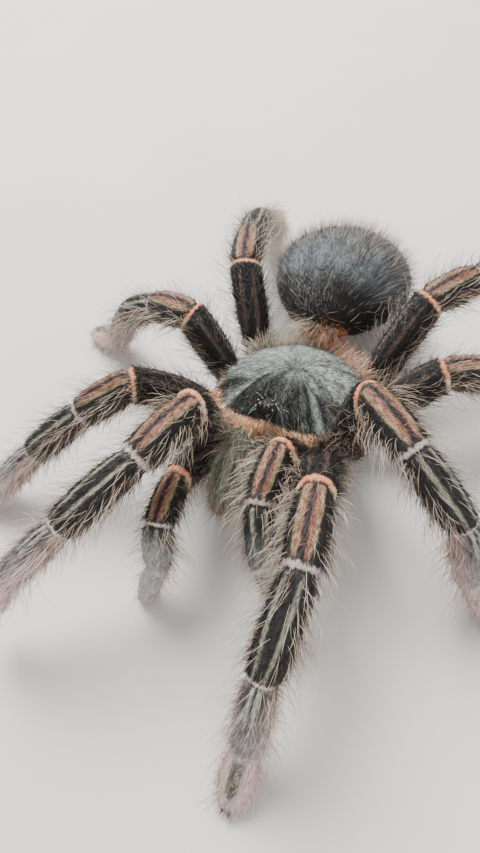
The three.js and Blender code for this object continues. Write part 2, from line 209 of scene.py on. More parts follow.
def tree_of(nodes: list[str]) -> tuple[BVHTree, list[str]]:
    """A search tree over the faces of some nodes, and the node that each face belongs to."""
    points, faces, owners = [], [], []
    for node in nodes:
        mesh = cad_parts[node].data
        first = len(points)
        points += [v.co.copy() for v in mesh.vertices]
        faces += [[first + i for i in p.vertices] for p in mesh.polygons]
        owners += [node] * len(mesh.polygons)
    return BVHTree.FromPolygons(points, faces), owners


@dataclass
class Segment:
    """One length of a limb, between two joints."""

    node: str
    region: Region
    start: Array
    end: Array

    def __post_init__(self) -> None:
        """Works out the length and the directions along, across and to the back."""
        self.length = float(np.linalg.norm(self.end - self.start))
        self.along = (self.end - self.start) / self.length
        self.across = unit(np.cross(self.along, [0, 0, 1]))
        self.back = np.cross(self.across, self.along)

    def locate(self, points: Array) -> tuple[Array, Array]:
        """The turn from the back in degrees, and the distance out from the middle line."""
        offset = points - self.start
        x, z = offset @ self.across, offset @ self.back
        return np.degrees(np.arctan2(x, z)), np.hypot(x, z)


@dataclass
class Spots:
    """Places on the skin, with what the coat and the markings need to know of each."""

    point: Array
    node: Array
    normal: Optional[Array] = None
    lie: Optional[Array] = None
    region: Array = field(init=False)
    side: Array = field(init=False)
    along: Array = field(init=False)
    turn: Array = field(init=False)
    near: Array = field(init=False)
    far: Array = field(init=False)
    flow: Array = field(init=False)
    grain: Array = field(init=False)
    sheet: Array = field(init=False)
    out: Array = field(init=False)
    palp: Array = field(init=False)

    def __post_init__(self) -> None:
        """Makes room for the values that Anatomy.survey fills in."""
        n = len(self.point)
        for name in ("region", "side", "along", "turn", "near", "far", "out", "palp"):
            setattr(self, name, np.zeros(n))
        self.flow, self.grain = np.zeros((n, 3)), np.zeros((n, 3))
        self.sheet = np.zeros((n, 2))

    def of(self, *regions: Region) -> Array:
        """True where a spot is in one of the regions."""
        return np.isin(self.region, regions)


class Anatomy:
    """Where each part of the body is, as read from the frame.

    GRAIN_ALONG and the like shrink the streaks' coordinates along the hair, so that streaks run
    lengthwise. SHELL_GRAIN and CHELICERA_LENGTH are in millimetres.
    """

    MEETING = 0.8 * MM
    LEAST_LENGTH = 0.1 * MM
    GRAIN_ALONG = 0.16
    SHELL_GRAIN_ALONG = 0.2
    SHELL_GRAIN = 14
    SHELL_SHEET = 1.5 * CARAPACE_LENGTH
    EDGE_DROOP = 1.2
    CHELICERA_LENGTH = 17
    CHELICERA_DOWN = unit(np.array([0, -0.8, -0.6]))
    CHELICERA_UP = np.array([0, -0.6, 0.8])
    CHELICERA_FLOW = np.array([0, -0.9, -0.35])
    CHELICERA_TIP_FLOW = np.array([0, -0.15, -1.0])
    FACE_RISE = 1.7

    def __init__(self) -> None:
        """Finds the joints of each limb and the frames of the body's two halves."""
        self.nodes = sorted(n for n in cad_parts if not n.endswith("fang"))
        self.segments: dict[str, Segment] = {}
        self.limbs: dict[str, list[Segment]] = {}
        for side in SIDES:
            for limb in LIMBS:
                self.limbs[f"{side}_{limb}"] = self.limb(f"{side}_{limb}")
        low, high = (np.array(c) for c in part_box("carapace"))
        half, c, s = CARAPACE_LENGTH / 2, math.cos(NOSE_UP), math.sin(NOSE_UP)
        self.prosoma = np.array(
            [(low[0] + high[0]) / 2, high[1] - half * c - MARGIN_THICKNESS * s, low[2] + half * s]
        )
        low, high = (np.array(c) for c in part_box("abdomen"))
        self.abdomen, self.abdomen_half = (low + high) / 2, (high - low) / 2

    def limb(self, name: str) -> list[Segment]:
        """The segments of a limb, with each joint midway between two nodes' facing ends."""
        regions = [r for r in LIMB_REGIONS if f"{name}_{r.name.lower()}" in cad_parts]
        nodes = [f"{name}_{r.name.lower()}" for r in regions]
        joints = [
            (self.facing(a, b) + self.facing(b, a)) / 2 for a, b in zip(nodes, nodes[1:])
        ]
        first, last = corners(nodes[0]), corners(nodes[-1])
        lean = unit(first.mean(0) - joints[0])
        hip = joints[0] + lean * ((first - joints[0]) @ lean).max()
        lean = unit(last.mean(0) - joints[-1])
        tip = joints[-1] + lean * ((last - joints[-1]) @ lean).max()
        points = [hip, *joints, tip]
        made = [Segment(*row) for row in zip(nodes, regions, points, points[1:])]
        self.segments.update({s.node: s for s in made})
        return made

    @staticmethod
    def facing(node: str, other: str) -> Array:
        """The middle of the end with which a node faces another."""
        tree, _ = tree_of([other])
        near = [p for p in corners(node) if tree.find_nearest(Vector(p))[3] < Anatomy.MEETING]
        return np.mean(near, axis=0)

    def to_prosoma(self, points: Array) -> Array:
        """Points in the front half's own frame: x to its left, -y ahead, z up."""
        d = points - self.prosoma
        c, s = math.cos(NOSE_UP), math.sin(NOSE_UP)
        return np.stack([d[:, 0], d[:, 1] * c - d[:, 2] * s, d[:, 1] * s + d[:, 2] * c], 1)

    @staticmethod
    def from_prosoma(vectors: Array) -> Array:
        """Directions of the front half's own frame, turned into those of the model."""
        c, s = math.cos(NOSE_UP), math.sin(NOSE_UP)
        x, y, z = vectors[..., 0], vectors[..., 1], vectors[..., 2]
        return np.stack([x, y * c + z * s, -y * s + z * c], -1)

    @staticmethod
    def shell_share(x: Array, y: Array) -> Array:
        """How far out points are between the shell's middle and its edge, which is 1."""
        angle = np.linspace(0, math.pi, 361)
        ahead, aside = np.clip(np.cos(angle), 0, 1), np.clip(np.sin(angle), 0, 1)
        power = np.where(ahead > 0, HEAD_SQUARE, 1)
        edge_x = aside**power * CARAPACE_WIDTH / 2 * (1 - HEAD_NARROWER * ahead**2)
        edge_y = np.where(ahead > 0, HEAD_REACH * ahead**power, np.cos(angle) * CARAPACE_LENGTH / 2)
        edge = np.arctan2(edge_x, edge_y)
        return np.hypot(x, y) / np.interp(np.arctan2(np.abs(x), -y), edge, np.hypot(edge_x, edge_y))

    def survey(self, spots: Spots) -> Spots:
        """Fills in each spot's region, own coordinates, flow of the coat and sheet place."""
        for index, node in enumerate(self.nodes):
            here = spots.node == index
            if not here.any():
                continue
            region = Region[node.split("_")[-1].upper()]
            spots.region[here] = region
            if node in self.segments:
                self.survey_limb(spots, here, self.segments[node])
            elif region == Region.CHELICERA:
                self.survey_chelicera(spots, here, node)
            elif region in (Region.ABDOMEN, Region.SPINNERET):
                self.survey_abdomen(spots, here)
            else:
                self.survey_shell(spots, here, region)
        return spots

    def survey_limb(self, spots: Spots, here: Array, segment: Segment) -> None:
        """Fills in the spots of one segment of a limb."""
        point = spots.point[here]
        turn, out = segment.locate(point)
        name = segment.node.rsplit("_", 1)[0]
        limb = self.limbs[name]
        rank = limb.index(segment)
        bends = [s.along + t.along for s, t in zip(limb, limb[1:])]
        bends = [limb[0].along, *bends, limb[-1].along]
        ends = ((1, segment.start, bends[rank]), (-1, segment.end, bends[rank + 1]))
        near, far = (
            np.maximum(sign * ((point - joint) @ bend) / (segment.along @ bend), 0)
            for sign, joint, bend in ends
        )
        along = near / np.maximum(near + far, self.LEAST_LENGTH)
        before = sum(s.length for s in limb[:rank])
        spots.side[here], spots.palp[here] = SIDES[name.split("_")[0]], "palp" in name
        spots.along[here], spots.turn[here], spots.out[here] = along, turn, out
        spots.near[here], spots.far[here] = near, far
        spots.flow[here] = segment.along
        angle = np.radians(turn)
        lengthwise = self.GRAIN_ALONG * (before + along * segment.length)
        spots.grain[here] = np.stack([np.sin(angle) * out, np.cos(angle) * out, lengthwise], 1)
        row = (rank + np.clip(along, 0, 1)) / len(limb)
        spots.sheet[here] = np.stack([(turn + 180) / 360, row], 1)

    def survey_shell(self, spots: Spots, here: Array, region: Region) -> None:
        """Fills in the spots of the carapace, its mound, the sternum or the coxae."""
        x, y, z = self.to_prosoma(spots.point[here]).T
        out, behind = self.shell_share(x, y), y - FOVEA_BEHIND
        turn, reach = np.degrees(np.arctan2(x, -behind)), np.hypot(x, behind)
        spots.out[here], spots.turn[here], spots.near[here] = out, turn, z
        spots.along[here] = reach / (CARAPACE_LENGTH / 2)
        if region == Region.STERNUM:
            spots.flow[here] = [0.0, 1.0, 0.0]
        else:
            droop = rising(out, 0.93, 0.07)[:, None] * [0, 0, self.EDGE_DROOP]
            radial = unit(np.stack([x, behind, np.zeros_like(x)], 1)) - droop
            spots.flow[here] = self.from_prosoma(unit(radial))
        angle = np.radians(turn)
        spots.grain[here] = np.stack(
            [
                np.sin(angle) * self.SHELL_GRAIN * MM,
                np.cos(angle) * self.SHELL_GRAIN * MM,
                reach * self.SHELL_GRAIN_ALONG,
            ],
            1,
        )
        spots.sheet[here] = 0.5 + np.stack([x, y], 1) / self.SHELL_SHEET

    def survey_chelicera(self, spots: Spots, here: Array, node: str) -> None:
        """Fills in the spots of one chelicera."""
        low, high = (np.array(c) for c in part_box(node))
        offset = spots.point[here] - (low + high) / 2
        down, up = offset @ self.CHELICERA_DOWN, offset @ self.CHELICERA_UP
        turn = np.degrees(np.arctan2(offset[:, 0], up))
        along = np.clip(0.5 + down / (self.CHELICERA_LENGTH * MM), 0, 1)
        bow = np.clip((along - 0.45) / 0.5, 0, 1)[:, None]
        spots.along[here], spots.turn[here] = along, turn
        spots.flow[here] = unit(self.CHELICERA_FLOW * (1 - bow) + self.CHELICERA_TIP_FLOW * bow)
        spots.grain[here] = np.stack([offset[:, 0], up, down * self.GRAIN_ALONG], 1)
        column = (turn + 180) / 720 + (0.5 if node.startswith("right") else 0)
        spots.sheet[here] = np.stack([column, along], 1)

    def survey_abdomen(self, spots: Spots, here: Array) -> None:
        """Fills in the spots of the abdomen or a spinneret."""
        from_middle = spots.point[here] - self.abdomen
        x, y, z = (from_middle / self.abdomen_half).T
        turn, along = np.degrees(np.arctan2(x, z)), (y + 1) / 2
        spots.turn[here], spots.along[here], spots.out[here] = turn, along, z
        lift = self.FACE_RISE * falling(along, 0.4, 0.35)
        aside = x * (0.35 + 0.9 * lift)
        spots.flow[here] = unit(np.stack([aside, np.ones(len(x)), lift - 0.25 - 0.35 * (z < 0)], 1))
        spots.grain[here] = from_middle * [1, self.SHELL_GRAIN_ALONG, 1]
        row = np.degrees(np.arccos(np.clip(-y, -1, 1))) / 180
        spots.sheet[here] = np.stack([(turn + 180) / 360, row], 1)


@dataclass(frozen=True)
class Stripes:
    """The pair of pale lengthwise stripes on the back of one kind of segment.

    Angles are in degrees from the middle of the back, at the near and the far end.
    """

    middle: tuple[float, float]
    half: tuple[float, float]
    start: float
    stop: float
    strength: float
    inner: Array
    outer: Array
    split: float = 0.0

    def place(self, along: Array) -> tuple[Array, Array]:
        """The stripe's middle and half width at each share of the way along."""
        near, step = self.middle[0], self.middle[1] - self.middle[0]
        wide, grow = self.half[0], self.half[1] - self.half[0]
        return near + step * along, wide + grow * along

    def share(self, along: Array, turn: Array) -> Array:
        """How much of the stripe's colour each spot takes."""
        around = np.abs(turn + 1.5 * ripple(along * 3, 11))
        middle, half = self.place(along)
        ends = rising(along, self.start, 0.05) * falling(along, self.stop, 0.09)
        half = half * (1 - 0.5 * smooth_step((along - self.stop + 0.2) / 0.2))
        lines = 1 - 0.7 * np.clip(ripple(around / 9 + 0.5 * along, 17) + 0.15, 0, 1)
        core = 1 - 0.55 * self.split * band(around, middle + 1, 0.4, 3) * smooth_step(along * 4)
        return band(around, middle, half, 2.5 + 0.2 * half) * ends * lines * core * self.strength

    def tint(self, along: Array, turn: Array) -> Array:
        """The stripe's colour at each spot, from its inner to its outer edge."""
        middle, half = self.place(along)
        across = (np.abs(turn) - middle) / np.maximum(half, 1)
        return blend(self.inner, self.outer, smooth_step(across * 0.7 + 0.5))


@dataclass(frozen=True)
class Ring:
    """The pale ring at the far end of one kind of segment."""

    back_tint: Array
    side_tint: Array
    width: float
    strength: float


class Markings:
    """The colours of the animal, with some painted sheen, highlights and shade, read by the skin and
    the coat alike.
    """

    DARK = paint(37, 34, 33)
    FEMUR_DARK = paint(27, 24, 23)
    FLANK = paint(74, 62, 59)
    BELLY = paint(66, 52, 46)
    STRIPES = {
        Region.FEMUR: Stripes(
            (17, 21), (5, 7), 0.35, 0.93, 0.26, paint(150, 116, 100), paint(172, 142, 124)
        ),
        Region.PATELLA: Stripes(
            (21, 18), (13, 11.5), 0.03, 0.93, 0.9, paint(172, 112, 92), paint(180, 154, 116), 1.0
        ),
        Region.TIBIA: Stripes(
            (30, 20), (7.5, 6), 0.03, 0.98, 0.88, paint(160, 156, 134), paint(182, 180, 160)
        ),
        Region.METATARSUS: Stripes(
            (15, 8), (7, 5), 0.0, 0.55, 0.85, paint(206, 212, 202), paint(214, 210, 200)
        ),
        Region.TARSUS: Stripes(
            (0, 0), (26, 23), 0.05, 0.68, 1.0, paint(92, 80, 58), paint(92, 80, 58)
        ),
    }
    RINGS = {
        Region.FEMUR: Ring(paint(232, 150, 108), paint(240, 210, 170), 1.05 * MM, 1.0),
        Region.PATELLA: Ring(paint(234, 216, 200), paint(216, 192, 200), 0.95 * MM, 0.9),
        Region.TIBIA: Ring(paint(238, 228, 214), paint(222, 204, 198), 0.9 * MM, 0.92),
        Region.METATARSUS: Ring(paint(224, 206, 196), paint(222, 198, 190), 0.8 * MM, 0.7),
    }
    RING_SOFT = 0.5 * MM
    # The shell's left front corner, where painted shade covers the pale edge and its fringe.
    DARK_CORNER = (54, 20, 8)  # its middle, half width and soft edge, in degrees of turn
    GREY_LEG = paint(160, 152, 150)
    PINK_LEG = paint(226, 200, 194)
    TAN_LEG = paint(206, 156, 130)
    FOOT_EDGE = paint(224, 194, 187)
    PALP_TIP = paint(182, 184, 184)
    SHELL = paint(84, 92, 85)
    # Pale of the shell's streaks and groove, also painted as sheen away from the front.
    SHELL_PALE_AND_SHEEN = paint(170, 178, 168)
    # Near black of the shell's dark marks, also painted as shade over the head and at the left front
    # corner.
    SHELL_DARK = paint(20, 20, 19)
    SHELL_EDGE = paint(190, 140, 104)
    FRONT_EDGE = paint(248, 196, 156)
    VELVET = paint(70, 78, 84)
    VELVET_PALE = paint(122, 127, 128)
    # Near black of the abdomen, used as painted shade in front and below.
    VELVET_DARK = paint(24, 21, 20)
    RUST = paint(196, 120, 70)
    CREAM = paint(238, 224, 204)
    FANG_BASE = paint(104, 107, 91)
    # Painted highlight colour for the chelicerae's pale streaks.
    FANG_BASE_PALE = paint(204, 202, 180)
    FANG_FRINGE = paint(168, 138, 132)
    UNDER = paint(54, 44, 39)

    def colours(self, spots: Spots) -> Array:
        """The colour at each spot."""
        made = np.tile(self.UNDER, (len(spots.point), 1))
        ways = {region: self.limb for region in LIMB_REGIONS}
        ways.update({Region.CARAPACE: self.carapace, Region.TUBERCLE: self.carapace})
        ways.update({Region.ABDOMEN: self.abdomen, Region.SPINNERET: self.abdomen})
        ways[Region.CHELICERA] = self.chelicera
        for region, way in ways.items():
            here = spots.region == region
            if here.any():
                made[here] = way(spots, here)
        return made

    def limb(self, spots: Spots, here: Array) -> Array:
        """The colours of one kind of segment: dark, with pale stripes and a ring at its far end."""
        region = Region(int(spots.region[here][0]))
        along, turn, far, palp = (v[here] for v in (spots.along, spots.turn, spots.far, spots.palp))
        around = np.abs(turn)
        dark = self.FEMUR_DARK if region == Region.FEMUR else self.DARK
        made = np.tile(dark, (len(along), 1))
        if region == Region.METATARSUS:
            made = blend(made, self.GREY_LEG, 0.12 + 0.78 * rising(along, 0.05, 0.75))
            made = blend(made, self.DARK, 0.55 * band(turn, 0, 3, 6) * smooth_step(along * 5))
            flank = rising(around, 30, 40) * (0.35 + 0.5 * rising(along, 0.1, 0.7))
            made = blend(made, self.PINK_LEG, flank)
            tan = 0.5 * band(around, 88, 14, 22) * smooth_step(1.3 - along)
            made = blend(made, self.TAN_LEG, tan)
        elif region == Region.TARSUS:
            made = np.tile(self.GREY_LEG * 1.25, (len(along), 1))
            made = blend(made, self.FOOT_EDGE, rising(around, 20, 40))
        else:
            made = blend(made, self.FLANK, 0.6 * rising(around, 60, 50))
            made = blend(made, self.BELLY, 0.7 * rising(around, 125, 40))
        if region in (Region.TIBIA, Region.TARSUS):
            right = spots.side[here] == SIDES["right"]
            shin = np.where(right, 0.7 * rising(along, 0, 0.6), 0.5 * rising(along, 0.25, 0.6))
            share = 0.85 if region == Region.TARSUS else shin
            made = blend(made, self.PALP_TIP, share * palp * smooth_step(1.4 - around / 120))
        rows = self.STRIPES[region]
        share = rows.share(along, turn) * (1 - palp if region == Region.TARSUS else 1)
        made = blend(made, rows.tint(along, turn), share)
        if region in self.RINGS:
            ring = self.RINGS[region]
            tint = blend(ring.back_tint, ring.side_tint, rising(around, 35, 45))
            ragged = ring.width * (1 + 0.3 * ripple(turn / 25, 41))
            share = smooth_step((ragged - far) / self.RING_SOFT + 0.5) * falling(around, 150, 40)
            made = blend(made, tint, share * ring.strength)
        return made

    def carapace(self, spots: Spots, here: Array) -> Array:
        """The back's dark shell, with streaks that run out from the groove in its middle; it is paler
        behind as painted sheen, and darker in front as painted shade and darker hair.
        """
        turn, out, along = spots.turn[here], spots.out[here], spots.along[here]
        around = np.abs(turn)
        streak = 0.5 * ripple(turn / 24, 3, 6) + 0.5 * ripple(turn / 70, 5, 4)
        streak = streak + 0.3 * ripple(along * 2.6 + turn / 31, 8)
        # Painted sheen: the shell is paler away from the front, and more so towards the rim there;
        # the streaks are its own pattern.
        behind = rising(around, 20, 70)
        pale = 0.14 + 0.4 * behind + 0.28 * rising(out, 0.2, 0.6) * behind + 0.45 * streak
        made = blend(self.SHELL, self.SHELL_PALE_AND_SHEEN, np.clip(pale, 0, 1))
        groove = band(around, 44 - 6 * out, 3.5, 5) * rising(out, 0.25, 0.3)
        # Painted shade: the front of the shell over the head is darkened, widening towards the rim,
        # partly for the head's darker hair.
        reach = 44 + 22 * rising(out, 0.3, 0.6)
        head = band(turn, 0, reach, 12) * rising(out, 0.12, 0.3)
        dark = np.clip(0.95 - 0.45 * np.clip(streak, 0, 1), 0, 1)
        made = blend(made, self.SHELL_DARK, dark * head)
        made = blend(made, self.SHELL_DARK, 0.6 * falling(along, 0.2, 0.16))
        broken = np.clip(0.6 + ripple(along * 4 + turn / 13, 9), 0, 1)
        made = blend(made, self.SHELL_DARK, 0.7 * broken * np.clip(-streak * 1.3 - 0.1, 0, 1))
        made = blend(made, self.SHELL_PALE_AND_SHEEN, 0.5 * groove)
        front = falling(around, 62, 10)
        edge = smooth_step((out - 0.955 + 0.06 * front) / 0.03)
        edge = edge * (spots.region[here] == Region.CARAPACE)
        tint = blend(self.SHELL_EDGE, self.FRONT_EDGE, front)
        # Painted shade: the pale edge goes dark at the left front corner.
        tint = blend(tint, self.SHELL_DARK, 0.85 * self.dark_corner(turn))
        return blend(made, tint, edge * (0.7 + 0.3 * front))

    @classmethod
    def dark_corner(cls, turn: Array) -> Array:
        """How far a place is in the shell's left front corner, where the pale edge is painted over
        with shade, 0 to 1.
        """
        return band(turn, *cls.DARK_CORNER)

    def abdomen(self, spots: Spots, here: Array) -> Array:
        """Slate velvet, lit on top as painted light and near black in front and below as painted
        shade, with rust and cream by the waist.
        """
        along, up = spots.along[here], spots.out[here]
        way = np.degrees(np.arctan2(spots.grain[here][:, 0], spots.grain[here][:, 2]))
        mottle = 0.7 * ripple(way / 30, 21) + 0.4 * ripple(along * 4 + way / 90, 22)
        top = blend(self.VELVET, self.VELVET_PALE, np.clip(0.35 + 0.4 * mottle, 0, 1))
        # Painted light and shade: lit on top, falling to near black on the face towards the shell and
        # underneath.
        light = smooth_step((along - 0.26) / 0.2 + 0.2 * mottle) * smooth_step((up + 0.3) / 0.5)
        made = blend(self.VELVET_DARK, top, light)
        waist = smooth_step((0.07 + 0.12 * smooth_step(0.5 - 3 * up) - along) / 0.06)
        pale = blend(self.RUST, self.CREAM, 0.6 * (spots.point[here][:, 0] < 0))
        return blend(made, pale, 0.8 * waist)

    def chelicera(self, spots: Spots, here: Array) -> Array:
        """Green-grey with paler lengthwise streaks painted as highlights, and pink at the tips."""
        turn, along = spots.turn[here], spots.along[here]
        # Painted highlights: pale lengthwise streaks down each chelicera.
        streak = np.clip(0.5 + 0.9 * ripple(turn / 37, 31), 0, 1) * rising(along, 0.05, 0.2)
        made = blend(self.FANG_BASE, self.FANG_BASE_PALE, streak * 0.75)
        return blend(made, self.FANG_FRINGE, 0.6 * rising(along, 0.8, 0.15))


class Skin:
    """The one skin of the animal, made by closing its solids into one surface.

    DEPTH_EVENED and LIE_EVENED say how often the coat's depth and lie are shared with the
    neighbours. NECK, COLLAR, FURROW, HEAD_FURROW and PIT are heights in millimetres.
    """

    NAME = "tarantula_skin"
    SWELL = 0.22 * MM
    VOXEL = 0.5 * MM
    WELD = 0.005 * MM
    DEPTH_EVENED = 8
    LIE_EVENED = 14
    HIP_KEPT = 4 * MM
    NECK = -0.42
    COLLAR = 0.16
    FURROW = 0.14
    HEAD_FURROW = 0.35
    PIT = 0.5

    def __init__(self, anatomy: Anatomy, markings: Markings) -> None:
        """Keeps what the skin is made from."""
        self.anatomy, self.markings = anatomy, markings

    def build(self) -> bpy.types.Object:
        """Makes the skin and returns its object."""
        piece = self.closed_surface()
        mesh = piece.data
        points = read(mesh.vertices, "co", 3)
        tree, owners = tree_of(self.anatomy.nodes)
        rank = {n: i for i, n in enumerate(self.anatomy.nodes)}
        node = np.array([rank[owners[tree.find_nearest(Vector(p))[2]]] for p in points])
        region = self.anatomy.survey(Spots(points, node)).region
        self.smooth(mesh, region)
        points, normals = read(mesh.vertices, "co", 3), self.normals(mesh)
        depth = self.level(mesh, growth("depth", region) * MM + self.SWELL, self.DEPTH_EVENED)
        self.settle(mesh, points - normals * depth[:, None])
        spots = self.anatomy.survey(Spots(read(mesh.vertices, "co", 3), node))
        self.carve(mesh, spots)
        self.smooth_some(mesh, np.arange(len(points)), 1)
        spots = self.anatomy.survey(Spots(read(mesh.vertices, "co", 3), node))
        spots.normal = self.normals(mesh)
        spots.lie = unit(self.level(mesh, unit(spots.flow), self.LIE_EVENED))
        self.spots = spots
        store(mesh, "marking", self.markings.colours(spots), "FLOAT_COLOR")
        store(mesh, "grain", spots.grain / MM, "FLOAT_VECTOR")
        mesh.polygons.foreach_set("use_smooth", np.ones(len(mesh.polygons), bool))
        mesh.calc_loop_triangles()
        self.faces = read(mesh.loop_triangles, "vertices", 3, np.int32)
        LOG.info("%s: %d triangles", piece.name, len(self.faces))
        return piece

    def closed_surface(self) -> bpy.types.Object:
        """The flesh nodes, swollen until they meet and closed into one even surface."""
        bm = bmesh.new()
        for node in self.anatomy.nodes:
            bm.from_mesh(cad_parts[node].data)
        bmesh.ops.remove_doubles(bm, verts=bm.verts, dist=self.WELD)
        bm.normal_update()
        for vert in bm.verts:
            vert.co += vert.normal * self.SWELL
        rough = bpy.data.meshes.new(self.NAME + "_rough")
        bm.to_mesh(rough)
        bm.free()
        piece = linked(self.NAME, rough)
        remesh = piece.modifiers.new("close", "REMESH")
        remesh.mode, remesh.voxel_size, remesh.adaptivity = "VOXEL", self.VOXEL, 0
        closed = bpy.data.meshes.new_from_object(
            piece.evaluated_get(bpy.context.evaluated_depsgraph_get())
        )
        piece.modifiers.clear()
        piece.data = closed
        closed.name = self.NAME
        closed.materials.clear()
        bpy.data.meshes.remove(rough)
        return piece

    def smooth(self, mesh: bpy.types.Mesh, region: Array) -> None:
        """Rounds off the facets, least where the form is thin."""
        limbs = np.flatnonzero(np.isin(region, LIMB_REGIONS) | (region == Region.ABDOMEN))
        thick = np.flatnonzero(~np.isin(region, (Region.TUBERCLE, Region.SPINNERET, Region.CARAPACE)))
        self.smooth_some(mesh, limbs, 6)
        self.smooth_some(mesh, thick, 3)
        self.smooth_some(mesh, np.arange(len(region)), 4)

    @staticmethod
    def smooth_some(mesh: bpy.types.Mesh, which: Array, times: int) -> None:
        """Smooths some vertices a number of times."""
        bm = bmesh.new()
        bm.from_mesh(mesh)
        bm.verts.ensure_lookup_table()
        verts = [bm.verts[i] for i in which]
        for _ in range(times):
            bmesh.ops.smooth_vert(
                bm, verts=verts, factor=0.5, use_axis_x=True, use_axis_y=True, use_axis_z=True
            )
        bm.to_mesh(mesh)
        bm.free()
        mesh.update()

    @staticmethod
    def normals(mesh: bpy.types.Mesh) -> Array:
        """The outward direction at each vertex."""
        return read(mesh.vertex_normals, "vector", 3)

    @staticmethod
    def settle(mesh: bpy.types.Mesh, points: Array) -> None:
        """Puts the vertices at new places."""
        mesh.vertices.foreach_set("co", points.astype(np.float32).ravel())
        mesh.update()

    @staticmethod
    def level(mesh: bpy.types.Mesh, values: Array, times: int) -> Array:
        """Evens out values on the vertices by sharing them with their neighbours."""
        ends = read(mesh.edges, "vertices", 2, np.int32)
        flat = values.reshape(len(values), -1).astype(float)
        a, b = np.concatenate([ends, ends[:, ::-1]]).T
        count = np.bincount(a, minlength=len(flat)).astype(float)
        for _ in range(times):
            total = np.stack([np.bincount(a, column[b], len(flat)) for column in flat.T], 1)
            flat = 0.5 * flat + 0.5 * total / count[:, None]
        return flat.reshape(values.shape)

    @staticmethod
    def hill(value: Array, middle: float, width: float) -> Array:
        """A soft hill of height one around a middle."""
        return np.exp(-(((value - middle) / width) ** 2))

    def carve(self, mesh: bpy.types.Mesh, spots: Spots) -> None:
        """Adds the collars and necks of the joints and the furrows of the shell."""
        move = np.zeros(len(spots.point))
        near, far, out, turn = spots.near, spots.far, spots.out, np.abs(spots.turn)
        free = spots.of(*LIMB_REGIONS) & ~(spots.of(Region.FEMUR) & (near < self.HIP_KEPT))
        neck = self.hill(near, 0, 0.8 * MM) + 0.5 * self.hill(far, 0, 0.35 * MM)
        collar = self.hill(far, 1.0 * MM, 0.6 * MM)
        last = spots.of(Region.TARSUS)
        necks = self.NECK * neck * (1 - last * (far < near))
        move += free * (necks + self.COLLAR * collar * ~last) * MM
        lobe = np.abs(np.cos(np.radians(spots.turn) * 4 + 0.4)) ** 6
        furrow = lobe * rising(out, 0, 0.25) * falling(out, 0.92, 0.3)
        head = band(turn, 39, 2.5, 6) * rising(out, 0, 0.3) * falling(out, 0.98, 0.2)
        pit = self.hill(spots.along, 0, 0.07)
        sunk = self.FURROW * furrow + self.HEAD_FURROW * head + self.PIT * pit
        move -= spots.of(Region.CARAPACE) * sunk * MM
        self.settle(mesh, spots.point + self.normals(mesh) * move[:, None])


def read(rows: object, name: str, width: int, kind: type = np.float32) -> Array:
    """One value of each row of a mesh's collection, as an array."""
    values = np.zeros(len(rows) * width, kind)
    rows.foreach_get(name, values)
    values = values.astype(float) if kind is np.float32 else values
    return values.reshape(-1, width) if width > 1 else values


def store(mesh: bpy.types.Mesh, name: str, values: Array, kind: str) -> None:
    """Keeps a value for each vertex of a mesh under a name that materials read."""
    if kind == "FLOAT_COLOR":
        values = np.concatenate([values, np.ones((len(values), 1))], 1)
        data, field_name = mesh.color_attributes.new(name, kind, "POINT").data, "color"
    else:
        data, field_name = mesh.attributes.new(name, kind, "POINT").data, "vector"
    data.foreach_set(field_name, values.astype(np.float32).ravel())


@dataclass(frozen=True)
class Layer:
    """One kind of hair.

    Lengths are in millimetres and angles in degrees. per_mm2 is how many grow on a square
    millimetre where the weight is one. bend is how far a hair turns from its lift at the root
    to the lie of the coat, and hook how far its tip then rises from the skin, or dips if below 0.
    trim is how much shorter it is beside a joint's ring.
    """

    name: str
    per_mm2: float
    length: tuple[float, float]
    width: float
    lift: tuple[float, float]
    stray: float
    bend: float
    hook: float
    curl: float
    rings: int
    weight: Callable[[Spots], Array]
    tip: Callable[[Spots, Array, np.random.Generator], Array]
    root_share: float = 0.0
    trim: float = 0.0


